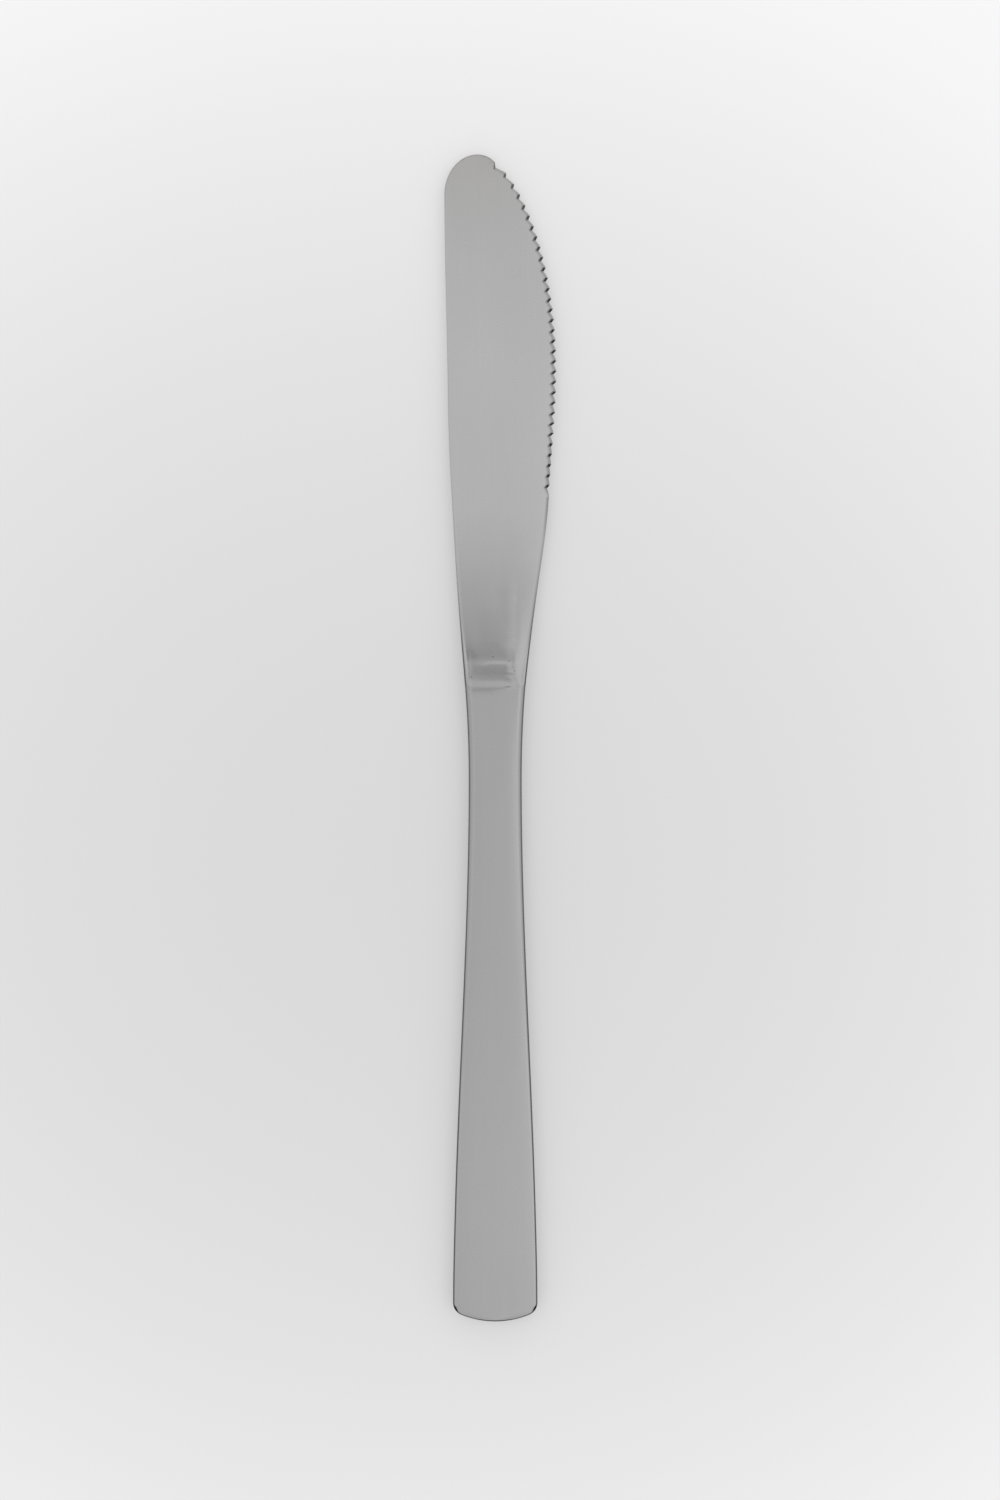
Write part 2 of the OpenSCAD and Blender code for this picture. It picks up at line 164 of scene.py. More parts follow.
# Places across and along, and radii, of the pits in the bolster, dark spots over shallow dents
PITS = [(-4.57, 2.35, 0.16), (-0.4, 6.2, 0.13), (2.65, 5.45, 0.13), (3.6, 3.55, 0.12)]

# Share of the full depth that the first notch, those near the heel and the last one have
FIRST_NOTCH, SHALLOW_NOTCH, LAST_NOTCH = 1.15, 0.52, 0.75
# Width of the first notch's ground slope against the others', and how far the last one's runs on past its flank
FIRST_GROUND, LAST_RUN = 1.5, 0.2
# How many notches before the last one are shallow, and the length over which the edge's lean is measured
SHALLOW_COUNT, LEAN_STEP = 4, 0.02
# Distance by which the first notches lie nearer to the tip than their pitch says
NOTCH_LIFT = (0.52, 0.42, 0.22, 0.18, 0.08, 0.04)

# Rows on a notch: 0 is at its point, 1 at its bottom and 2 at its end. Then the painted shade of the short
# flank, the bottom and the long flank where the slope is ground
NOTCH_ROWS = np.array([0, 0.17, 0.34, 0.5, 0.67, 0.83, 1, 1.25, 1.5, 1.75, 2])
FLANK_SHADES = (0.32, 0.5, 1.0)
# Rows from the joint to the teeth, as first place, last place and spacing, then as a place and a count
HEEL_ROWS, HEEL_END_ROWS = [(0, 6.6, 0.06), (6.6, 13, 0.2), (13, 33, 0.6)], (33, 8)
# Rows round the nose, along the tang, round its end and on the spigot
NOSE_ROWS, TANG_ROWS, TANG_END_ROWS, SPIGOT_ROWS = 25, 90, 10, 6
# Angles between which the rows round the tang's end lie, in degrees, and the rounding of the tang's edges
TANG_END_TURN, TANG_EDGE_R = (8, 90), 0.12
# Rows close to the handle's mouth and where the even ones start, then how many of those follow along its
# side, round its corner and along its butt
MOUTH_ROWS, EVEN_START, SHELL_ROWS = (0, 0.09, 0.18, 0.27, 0.36, 0.5, 0.7), 1, (150, 22, 44)
# Columns on a rounded edge and on a face, of the shells and of the blade
SHELL_COLUMNS, BLADE_COLUMNS = (11, 44), (8, 40)


# ---------------------------------------------------------------------------- sizes and colours


class KnifeHandleSizes(bpy.types.PropertyGroup):
    """Sizes of the hollow handle"""

    joint_w: FloatProperty(name="Joint width", description="Width where the handle meets the bolster",
                           default=11.3 * MM, unit="LENGTH")
    neck_w: FloatProperty(name="Neck width", description="Width of the narrowest place",
                          default=10 * MM, unit="LENGTH")
    neck_y: FloatProperty(name="Neck place", description="Distance of the neck from the bolster",
                          default=17 * MM, unit="LENGTH")
    butt_r: FloatProperty(name="Butt radius", description="Radius of the arc that ends the butt",
                          default=17 * MM, unit="LENGTH")
    corner_r: FloatProperty(name="Corner radius", description="Radius of the butt's corners",
                            default=2.5 * MM, unit="LENGTH")
    edge_r: FloatProperty(name="Edge rounding", description="Rounding of the edges at the bolster",
                          default=1.2 * MM, unit="LENGTH")
    butt_edge_r: FloatProperty(name="Butt edge rounding", description="Rounding of the edges at the butt",
                               default=0.45 * MM, unit="LENGTH")
    crown: FloatProperty(name="Crown", description="Height by which the faces bulge",
                         default=0.1 * MM, unit="LENGTH")
    shoulder: FloatProperty(name="Shoulder", description="Height by which the faces fall close to their edges",
                            default=0.1 * MM, unit="LENGTH")
    wall_t: FloatProperty(name="Wall", description="Thickness of the pressed shells",
                          default=0.8 * MM, unit="LENGTH")


class KnifeBladeSizes(bpy.types.PropertyGroup):
    """Sizes of the blade and its bolster"""

    blade_t: FloatProperty(name="Blade thickness", description="Thickness beside the bolster's ramp",
                           default=1.9 * MM, unit="LENGTH")
    tip_t: FloatProperty(name="Tip thickness", description="Thickness at the nose",
                         default=1.1 * MM, unit="LENGTH")
    cut_t: FloatProperty(name="Edge thickness", description="Thickness of the cutting edge",
                         default=0.5 * MM, unit="LENGTH")
    belly_y: FloatProperty(name="Widest place", description="Distance of the widest place from the handle",
                           default=60 * MM, unit="LENGTH")
    tip_x: FloatProperty(name="Tip offset", description="Distance of the tip from the middle line",
                         default=3.35 * MM, unit="LENGTH")
    nose_back_w: FloatProperty(name="Nose width", description="Width of the nose's curve to the spine",
                               default=6.25 * MM, unit="LENGTH")
    nose_back_len: FloatProperty(name="Nose length", description="Length of the nose's curve",
                                 default=7.6 * MM, unit="LENGTH")
    nose_front_w: FloatProperty(name="Nose width to the edge",
                                description="Width of the nose's curve to the cutting edge",
                                default=3.85 * MM, unit="LENGTH")
    nose_front_r: FloatProperty(name="Nose height",
                                description="Length of the nose's curve to the cutting edge",
                                default=3.15 * MM, unit="LENGTH")
    spine_r: FloatProperty(name="Spine rounding", description="Rounding along the spine",
                           default=0.18 * MM, unit="LENGTH")
    slope_w: FloatProperty(name="Margin width", description="Width of the fall to the edge at the bolster",
                           default=2.7 * MM, unit="LENGTH")
    ramp_len: FloatProperty(name="Ramp length", description="Length of the ramp down to the blade",
                            default=25 * MM, unit="LENGTH")


class KnifeSerrationSizes(bpy.types.PropertyGroup):
    """Sizes of the serrated edge"""

    count: IntProperty(name="Notches", description="Number of notches along the edge", default=32)
    pitch: FloatProperty(name="Pitch", description="Distance between notches",
                         default=1.957 * MM, unit="LENGTH")
    depth: FloatProperty(name="Depth", description="Depth of the notches on the back face",
                         default=0.56 * MM, unit="LENGTH")
    ground_w: FloatProperty(name="Ground slope", description="Width of the ground slope seen from the front",
                            default=0.38 * MM, unit="LENGTH")
    first_gap: FloatProperty(name="First gap", description="Distance of the first notch from the nose",
                             default=0.65 * MM, unit="LENGTH")
    land: FloatProperty(name="Land", description="Land left on the point of each tooth",
                        default=0.12 * MM, unit="LENGTH")
    long_share: FloatProperty(name="Long flank", description="Share of the pitch that the long flank takes",
                              default=0.68, subtype="FACTOR")
    bulge: FloatProperty(name="Flank bulge", description="Height by which the long flank bulges",
                         default=0.05 * MM, unit="LENGTH")


class KnifeTangSizes(bpy.types.PropertyGroup):
    """Sizes of the spigot and tang inside the handle"""

    spigot_len: FloatProperty(name="Spigot length", description="Length of the block in the handle's mouth",
                              default=3 * MM, unit="LENGTH")
    seat_gap: FloatProperty(name="Seat gap", description="Clearance of the spigot inside the shells",
                            default=0.04 * MM, unit="LENGTH")
    tang_w: FloatProperty(name="Tang width", description="Width of the tang at the spigot",
                          default=5.6 * MM, unit="LENGTH")
    tang_end_w: FloatProperty(name="Tang end width", description="Width of the tang at its end",
                              default=3.8 * MM, unit="LENGTH")
    tang_t: FloatProperty(name="Tang thickness", description="Thickness of the tang",
                          default=2 * MM, unit="LENGTH")
    bite_r: FloatProperty(name="Bite radius", description="Radius of the bites in the tang's sides",
                          default=0.8 * MM, unit="LENGTH")
    bite_depth: FloatProperty(name="Bite depth", description="Depth of those bites",
                              default=0.55 * MM, unit="LENGTH")
    bite_count: IntProperty(name="Bites", description="Number of bites along each side", default=3)


class KnifeFinish(bpy.types.PropertyGroup):
    """Colours and gloss of the materials"""

    # The blade's steel is lighter than the handle's; the flat's mask blends them, partly as painted light
    blade_color: FloatVectorProperty(name="Blade steel", description="Colour of the blade's satin steel",
                                     default=(0.605, 0.605, 0.605), subtype="COLOR")
    handle_color: FloatVectorProperty(name="Handle steel",
                                      description="Colour of the satin steel of the handle and bolster",
                                      default=(0.455, 0.455, 0.455), subtype="COLOR")
    cement_color: FloatVectorProperty(name="Cement", description="Colour of the handle's cement",
                                      default=(0.55, 0.5, 0.42), subtype="COLOR")
    roughness: FloatProperty(name="Roughness", description="Roughness of the satin steel",
                             default=0.3, subtype="FACTOR")
    grain: FloatProperty(name="Grain", description="Size of the satin grain",
                         default=0.22 * MM, unit="LENGTH")


class KnifeStage(bpy.types.PropertyGroup):
    """Floor, lamp and camera"""

    floor_color: FloatVectorProperty(name="Floor", description="Colour of the floor beside the knife",
                                     default=(0.69, 0.69, 0.69), subtype="COLOR")
    floor_glow: FloatProperty(name="Floor glow",
                              description="Share of the floor's colour that no shadow darkens",
                              default=0.46, subtype="FACTOR")
    floor_size: FloatProperty(name="Floor size", description="Side of the floor", default=6.0, unit="LENGTH")
    top_lamp: FloatProperty(name="Top lamp", description="Strength of the soft lamp straight above",
                            default=0.8)
    lens: FloatProperty(name="Lens", description="Focal length of the camera in millimetres",
                        default=85, unit="CAMERA")
    distance: FloatProperty(name="Distance", description="Height of the camera above the knife",
                            default=0.6674, unit="LENGTH")


# ---------------------------------------------------------------------------- curves and sections


def knot_curve(knots, s):
    """Smooth curve: on each span between knots, the cubic with the knots' values and slopes."""
    place, value, slope = np.array(knots, float).T
    i = np.clip(np.searchsorted(place, s, side="right") - 1, 0, len(place) - 2)
    span = place[i + 1] - place[i]
    t = np.clip((s - place[i]) / span, 0, 1)
    return (value[i] * (2 * t**3 - 3 * t**2 + 1) + value[i + 1] * (3 * t**2 - 2 * t**3)
            + slope[i] * span * (t**3 - 2 * t**2 + t) + slope[i + 1] * span * (t**3 - t**2))


def table_curve(pairs, y):
    """Value at a place y in metres, in straight lines between pairs of place in mm and value."""
    place, value = np.array(pairs, float).T
    return np.interp(y / MM, place, value)


def ease(y, y0, y1, a, b):
    """Soft change from a to b while y goes from y0 to y1: a + (b - a) t t (3 - 2 t)."""
    t = np.clip((y - y0) / (y1 - y0), 0, 1)
    return a + (b - a) * t * t * (3 - 2 * t)


def ease_mm(y, y0, y1, a, b):
    """The same soft change, with its two ends in mm."""
    return ease(y, y0 * MM, y1 * MM, a, b)


def swell(y, places):
    """Soft rise from 0 to 1 between the first two places in mm, less the same between the last two."""
    start, top, end = places
    return ease_mm(y, start, top, 0, 1) - ease_mm(y, top, end, 0, 1)


def fallen(pairs, y):
    """Share of the fall that is done at y: the area under the steepness so far, over the whole area."""
    place, steepness = np.array(pairs, float).T
    fine = np.linspace(place[0], place[-1], FALL_STEPS)
    rate = np.interp(fine, place, steepness)
    area = np.concatenate([[0], np.cumsum((rate[1:] + rate[:-1]) / 2 * np.diff(fine))])
    return np.interp(y / MM, fine, area / area[-1])


def edge_profile(height, radius, steps):
    """Rounded edge from the middle plane to the face: a wall, then a quarter circle of the radius.

    Returns insets and heights, one row for each station."""
    turn = np.radians(np.linspace(0, 90, steps - 1))
    height, radius = height[:, None], radius[:, None]
    inset = np.concatenate([np.zeros_like(radius), radius * (1 - np.cos(turn))], axis=1)
    level = np.concatenate([np.zeros_like(height), height - radius + radius * np.sin(turn)], axis=1)
    return inset, level


def edge_shade_mask(radius, steps, width):
    """Painted shade along a rounded edge: 1 up to the width from the outline, then down to 0 in a straight
    line.

    It fades to 0 at the middle plane."""
    turn = np.radians(np.linspace(0, 90, steps - 1))
    inset = radius[:, None] * (1 - np.cos(turn))
    dark = np.clip((np.reshape(width, (-1, 1)) + RIM_FADE * MM - inset) / (RIM_FADE * MM), 0, 1)
    return np.concatenate([np.zeros_like(dark[:, :1]), dark], axis=1)


def unit(vectors):
    """Vectors over their lengths."""
    return vectors / np.linalg.norm(vectors, axis=-1, keepdims=True)


# ---------------------------------------------------------------------------- meshes


def weld(points, quads):
    """Joins points that coincide; a quad that loses a corner becomes a triangle, a flat one goes."""
    _, first, index = np.unique(np.round(points * WELD_STEPS).astype(np.int64), axis=0,
                                return_index=True, return_inverse=True)
    corners = index.reshape(-1)[quads]
    doubled = corners == np.roll(corners, -1, axis=1)
    whole = corners[~doubled.any(axis=1)]
    narrow, kept = corners[doubled.sum(axis=1) == 1], ~doubled[doubled.sum(axis=1) == 1]
    return first, whole.tolist() + narrow[kept].reshape(-1, 3).tolist()


def loft_quads(rows, columns):
    """Quads of a closed tube: row i, column j joins the next row and the next column round."""
    i, j = np.meshgrid(np.arange(rows - 1), np.arange(columns), indexing="ij")
    a, b = i * columns + j, i * columns + (j + 1) % columns
    return np.stack([a, b, b + columns, a + columns], axis=-1).reshape(-1, 4)


def add_object(name, data):
    """Object from its data, in the scene."""
    item = bpy.data.objects.new(name, data)
    bpy.context.scene.collection.objects.link(item)
    return item


def make_piece(name, points, quads, masks, material):
    """Mesh object from points in metres, quads and one value a point for each mask."""
    first, faces = weld(points, quads)
    mesh = bpy.data.meshes.new(name)
    mesh.from_pydata(points[first], [], faces)
    for mask, values in masks.items():
        layer = mesh.attributes.new(mask, "FLOAT", "POINT")
        layer.data.foreach_set("value", np.ascontiguousarray(values.reshape(-1)[first], np.float32))
    mesh.validate()
    mesh.shade_smooth()
    mesh.set_sharp_from_angle(angle=SHARP_ANGLE)
    mesh.materials.append(material)
    return add_object(name, mesh)


def finish_piece(name, node, points, quads, masks, material):
    """A piece that stands for a CAD node and rides on its body."""
    piece = make_piece(name, points, quads, masks, material)
    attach(piece, "root")
    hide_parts(node)
    return piece


# ---------------------------------------------------------------------------- handle


def handle_half(d, sizes, corner_y):
    """Half width at a distance from the joint: a parabola to the neck, then the swelling curve."""
    neck = sizes.neck_w / 2
    front = neck + (sizes.joint_w / 2 - neck) * (1 - d / sizes.neck_y) ** 2
    back = neck + (BUTT_W / 2 - neck) * knot_curve(SWELL, (d - sizes.neck_y) / (corner_y - sizes.neck_y))
    return np.where(d < sizes.neck_y, front, back)


def handle_outline(sizes):
    """Right side of the handle: its swelling side, the corner's arc and the butt's arc to the middle.

    Returns points and outward normals, from the joint to the butt."""
    side_rows, corner_rows, butt_rows = SHELL_ROWS
    corner_x = BUTT_W / 2 - sizes.corner_r
    reach = sizes.butt_r - sizes.corner_r
    corner_y = HANDLE_LEN - sizes.butt_r + math.sqrt(reach**2 - corner_x**2)
    turn = math.asin(corner_x / reach)
    d = np.concatenate([np.array(MOUTH_ROWS) * MM, np.linspace(EVEN_START * MM, corner_y, side_rows)])
    half = handle_half(d, sizes, corner_y)
    side = np.stack([half, -d], axis=1)
    side_n = unit(np.stack([np.ones_like(d), np.gradient(half, d)], axis=1))
    side_n[-1] = (1, 0)
    a = np.linspace(0, math.pi / 2 - turn, corner_rows + 1)[1:]
    corner_n = np.stack([np.cos(a), -np.sin(a)], axis=1)
    corner = np.array([corner_x, -corner_y]) + sizes.corner_r * corner_n
    a = turn * (1 - np.arange(1, butt_rows + 1) / butt_rows)
    arc_n = np.stack([np.sin(a), -np.cos(a)], axis=1)
    arc = np.array([0, sizes.butt_r - HANDLE_LEN]) + sizes.butt_r * arc_n
    return np.concatenate([side, corner, arc]), np.concatenate([side_n, corner_n, arc_n])


def half_loop(outline, normals, inset, level, face_columns, crown, shoulder):
    """Half of a flat body's section at each station, from the right edge over the face to the left.

    The edge is the outline moved in by the inset, at its level. The face runs across between the two
    edges and bulges by crown (1 - u^2) + shoulder (1 - u^6), where u goes from 1 to -1."""
    right = np.stack([
        outline[:, None, 0] - inset * normals[:, None, 0],
        outline[:, None, 1] - inset * normals[:, None, 1],
        level,
    ], axis=-1)
    right[0, :, 1] = 0
    left = right[:, ::-1] * (-1, 1, 1)
    u = np.linspace(1, -1, face_columns + 2)[1:-1, None]
    inner = right[:, -1:]
    face = inner * np.concatenate([u, np.ones_like(u), np.ones_like(u)], axis=1)
    face[..., 2] += crown * (1 - u[:, 0] ** 2) + shoulder[:, None] * (1 - u[:, 0] ** 6)
    return np.concatenate([right, face, left], axis=1)


def lip(x):
    """Share of the groove's depth across the knife: it starts at its first end and runs out at its last."""
    (first, last), (outside, inside) = np.array(LIP_ENDS) * MM, np.array(LIP_SOFT) * MM
    return ease(x, first - outside, first + inside, 0, 1) * ease(x, LIP_RUN_OUT * MM, last, 1, 0)


def shell_points(sizes, outward):
    """One pressed shell: rows from the mouth to the butt, columns over the outside and back inside.

    At the mouth the face sinks into the groove by its depth times (1 - d / length) squared."""
    edge_steps, face_columns = SHELL_COLUMNS
    outline, normals = handle_outline(sizes)
    along = -outline[:, 1] / HANDLE_LEN
    radius = ease(along, *SHELL_CHANGES, sizes.edge_r, sizes.butt_edge_r)
    shoulder = ease(along, 0, SHOULDER_IN, 0, sizes.shoulder)
    outer_inset, level = edge_profile(HANDLE_T / 2 - sizes.crown - shoulder, radius, edge_steps)
    outside = half_loop(outline, normals, outer_inset, level, face_columns, sizes.crown, shoulder)
    outside[..., 2] -= LIP_DEPTH * MM * lip(outside[..., 0]) * np.clip(
        1 + outside[..., 1] / (LIP_LEN * MM), 0, 1) ** 2
    inner_r = np.maximum(radius - sizes.wall_t, INNER_R * MM)
    inset, level = edge_profile(np.full(len(outline), HANDLE_T / 2 - sizes.wall_t), inner_r, edge_steps)
    inside = half_loop(outline, normals, inset + sizes.wall_t, level, face_columns, 0, 0 * shoulder)
    loop = np.concatenate([outside, inside[:, ::-1]], axis=1)
    loop[..., 1] += JOINT_Y
    loop[..., 2] = MID_Z + outward * loop[..., 2]
    half = outside.shape[1]
    return loop, half, shell_masks(loop.shape[:2], half, along, radius, -normals[:, 1], outer_inset)


def shell_masks(shape, half, along, radius, turned, inset):
    """Masks of a shell from how far its outline has turned to the butt, 0 on the sides and 1 at the end.

    The painted edge shade is darker and wider in the corners and at the butt, above the middle of the rounding."""
    edge_steps = SHELL_COLUMNS[0]
    corner = ease(turned, *CORNER_STARTS, 0, 1) * ease(turned, *CORNER_ENDS, 1, 0)
    width = ease(turned, *RIM_CHANGES, RIM_W * MM, BUTT_RIM_W * MM) + CORNER_RIM_W * MM * corner
    above = np.clip((inset - DARK_STARTS * MM) / (DARK_SETS_IN * MM), 0, 1)
    dark = edge_shade_mask(radius, edge_steps, width)

    def on_edges(values):
        mask = np.zeros(shape)
        mask[:, :edge_steps] = values
        mask[:, half - edge_steps:half] = values[:, ::-1]
        return mask

    return {
        # Painted shade along the rounded edges
        "rim": on_edges(dark),
        # Polish and painted highlight beside the edge shade
        "edge": on_edges(EDGE_POLISH_AND_HIGHLIGHT * (1 - dark) * (np.arange(edge_steps) > 0)),
        # More painted shade in the corners and at the butt's end
        "ground": on_edges((corner + ease(turned, *BUTT_END, 0, BUTT_DARK))[:, None] * dark * above),
        # Painted light along the handle
        "flat": np.zeros(shape) + table_curve(HANDLE_PAINTED_LIGHT, along * HANDLE_LEN)[:, None],
    }


def build_shell(name, node, outward, material):
    """Pressed shell of the handle; outward is 1 for the front and -1 for the back."""
    sizes = bpy.context.scene.knife_handle
    loop, half, masks = shell_points(sizes, outward)
    rows, columns = loop.shape[:2]
    quads = loft_quads(rows, columns)
    j = np.arange(half - 1)
    mouth = np.stack([j, columns - 1 - j, columns - 2 - j, j + 1], axis=1)
    quads = np.concatenate([quads, mouth])
    if outward < 0:
        quads = quads[:, ::-1]
    return finish_piece(name, node, loop.reshape(-1, 3), quads, masks, material)


# ---------------------------------------------------------------------------- blade


class BladeShape:
    """Curves of the blade's outline and the height of its faces over the middle plane."""

    def __init__(self, scene):
        self.sizes, self.teeth = scene.knife_blade, scene.knife_serration
        self.joint_half = scene.knife_handle.joint_w / 2
        self.joint_edge_r = scene.knife_handle.edge_r
        self.crown = scene.knife_handle.crown
        s = self.sizes
        self.spine_end = BLADE_LEN - s.nose_back_len
        self.spine_reach = s.tip_x + s.nose_back_w
        self.nose_arc = BLADE_LEN - s.nose_front_r
        self.nose_end = self.nose_arc + s.nose_front_r * math.cos(NOSE_TURN)
        self.nose_end_x = s.nose_front_w * math.sin(NOSE_TURN) - s.tip_x
        self.thin_y = self.nose_end - self.teeth.first_gap - self.teeth.count * self.teeth.pitch

    def spine_x(self, y):
        """Reach of the spine from the middle line: the knot curve, then the nose's quarter ellipse."""
        s = self.sizes
        along = self.joint_half + (self.spine_reach - self.joint_half) * knot_curve(SPINE, y / self.spine_end)
        share = np.clip((y - self.spine_end) / s.nose_back_len, 0, 1)
        nose = s.tip_x + s.nose_back_w * np.sqrt(1 - share**2)
        return np.where(y < self.spine_end, along, nose)

    def cut_x(self, y):
        """Reach of the cutting edge: the knot curve, a squared off ellipse, then the nose's ellipse."""
        s = self.sizes
        reach = BLADE_HIGH.x
        heel = self.joint_half + (reach - self.joint_half) * knot_curve(CUT, y / s.belly_y)
        share = np.clip((y - s.belly_y) / (self.nose_end - s.belly_y), 0, 1)
        belly = self.nose_end_x + (reach - self.nose_end_x) * (1 - share**BELLY_POWERS[0])**BELLY_POWERS[1]
        share = np.clip((y - self.nose_arc) / s.nose_front_r, -1, 1)
        nose = s.nose_front_w * np.sqrt(1 - share**2) - s.tip_x
        return np.where(y < s.belly_y, heel, np.where(y < self.nose_end, belly, nose))

    def steps_height(self, x, y, plain, rise):
        """Height of the steps and ramp: the fall, less the groove and the hollow, plus the small ridge.

        At their right end the places along the knife are shifted, so that the first step closes to a
        point. The ridge bends toward the handle at its left end."""
        turned = STEP_TURN * MM * ease_mm(x, *TURN_ACROSS, 0, 1)
        turned = turned * ease_mm(y, *TURN_CHANGES, -1, 1) * ease_mm(y, *TURN_EASES, 1, TURN_SHARE)
        turned = turned * ease_mm(y, *TURN_FADES, 1, 0)
        steps = plain + rise * (1 - fallen(STEP_FALL, y + turned))
        steps = steps - LIP_DEPTH * MM * lip(x) * ease_mm(y, 0, LIP_FADE, 1, 0)
        ridge = ease_mm(x, *RIDGE_ACROSS, 0, RIDGE_H * MM) * ease_mm(x, *RIDGE_LOWERS, 1, RIDGE_SHARE)
        steps = steps + ridge * swell(y + turned + table_curve(RIDGE_BEND, x) * MM, RIDGE_ALONG)
        return steps - ease_mm(x, *HOLLOW_ACROSS, HOLLOW_DEPTH * MM, 0) * swell(y, HOLLOW_ALONG)

    def face_height(self, x, y):
        """Height of a face over the middle plane.

        The steps and ramp lie on the left of a soft border, the smooth margin on its right. From there
        the face falls to the cutting edge along a curve (1 - v^p)^(1/p), v being the way done."""
        s = self.sizes
        plain = ease(y, s.ramp_len, BLADE_LEN, s.blade_t, s.tip_t) / 2
        rise = HANDLE_T / 2 - s.blade_t / 2
        steps = self.steps_height(x, y, plain, rise)
        margin = plain + rise * (1 - fallen(MARGIN_FALL, y))
        border, soft = table_curve(STEP_REACH, y) * MM, table_curve(STEP_SOFTNESS, y) * MM
        top = steps + (margin - steps) * ease(x, border - soft, border + soft, 0, 1)
        half = (self.spine_x(y) + self.cut_x(y)) / 2
        centre = (self.cut_x(y) - self.spine_x(y)) / 2
        near = ease_mm(y, 0, CROWN_FADE, 1, 0)
        top = top - near * self.crown * np.minimum(((x - centre) / (half - self.joint_edge_r)) ** 2, 1)
        low = ease(y, 0, s.ramp_len, HANDLE_T / 2 - self.crown - self.joint_edge_r, s.cut_t / 2)
        low = np.minimum(low, top)
        low = low + (top - low) * ease(y, self.nose_end - NOSE_FILLS * MM, BLADE_LEN, 0, NOSE_SHARE)
        width = (ease_mm(y, *SLOPE_GROWS, self.joint_edge_r, s.slope_w)
                 + ease_mm(y, *SLOPE_DOUBLES, 0, s.slope_w)
                 + ease(y, SLOPE_DOUBLES[1] * MM, self.thin_y, 0, BLADE_HIGH.x - s.slope_w))
        width = np.clip(width, SLOPE_LEAST * MM, np.maximum(SLOPE_MOST * half, 2 * SLOPE_LEAST * MM))
        power = ease(y, 0, s.ramp_len, *SLOPE_POWERS)
        v = np.clip((x - self.cut_x(y) + width) / width, 0, 1)
        return low + (top - low) * (1 - v**power) ** (1 / power)

    def notch_corners(self):
        """Corners of every notch on the back face and on the front face, as arrays (notch, corner, xy).

        A notch goes down a short flank to its bottom and up a long one. Toward the front face it is
        moved inward, and its ends run out to where neighbouring flanks meet."""
        t = self.teeth
        y = self.nose_end - t.first_gap - t.pitch * np.arange(t.count)
        y[:len(NOTCH_LIFT)] += np.array(NOTCH_LIFT) * MM
        depth = np.full(t.count, t.depth)
        depth[0] *= FIRST_NOTCH
        depth[-1 - SHALLOW_COUNT:-1] *= SHALLOW_NOTCH
        depth[-1] *= LAST_NOTCH
        step = LEAN_STEP * MM
        lean = (self.cut_x(y + step) - self.cut_x(y - step)) / (2 * step)
        out = unit(np.stack([np.ones_like(lean), -lean], axis=1))
        run = (t.pitch - t.land) * (1 - t.long_share)
        y_tip = y + run * out[:, 0]
        y_heel = np.append(y_tip[1:], y_tip[-1] - t.pitch) + t.land
        back = np.stack([
            np.stack([self.cut_x(y_tip), y_tip], axis=1),
            np.stack([self.cut_x(y), y], axis=1) - depth[:, None] * out,
            np.stack([self.cut_x(y_heel), y_heel], axis=1),
        ], axis=1)
        ground_w = np.full(t.count, t.ground_w)
        ground_w[0] *= FIRST_GROUND
        shifted = back - (ground_w[:, None] * out)[:, None]
        tip = flank_meeting(shifted[:-1, 1], shifted[:-1, 2], shifted[1:, 1], shifted[1:, 0])
        front = shifted.copy()
        front[1:, 0] = front[:-1, 2] = tip
        front[0, 0] = back[0, 0]
        front[-1, 2] = back[-1, 2] + (back[-1, 2] - back[-1, 1]) * LAST_RUN
        front[-1, 2, 0] = self.cut_x(front[-1, 2, 1])
        return back, front


def flank_meeting(a, b, c, d):
    """Where the line from a through b meets the line from c through d."""
    u, v, w = b - a, d - c, c - a
    share = (w[:, 0] * v[:, 1] - w[:, 1] * v[:, 0]) / (u[:, 0] * v[:, 1] - u[:, 1] * v[:, 0])
    return a + share[:, None] * u


def outline_normals(points):
    """Normals of a chain of points, on the right of the way it goes."""
    way = np.gradient(points, axis=0)
    return unit(np.stack([way[:, 1], -way[:, 0]], axis=1))


def nose_points(shape, start):
    """Points of the nose's outline from a place along the knife to the tip, at even angles."""
    turn = np.arcsin((start - shape.nose_arc) / shape.sizes.nose_front_r)
    y = shape.nose_arc + shape.sizes.nose_front_r * np.sin(np.linspace(turn, math.pi / 2, NOSE_ROWS + 1)[1:])
    return np.stack([shape.cut_x(y), y], axis=1)


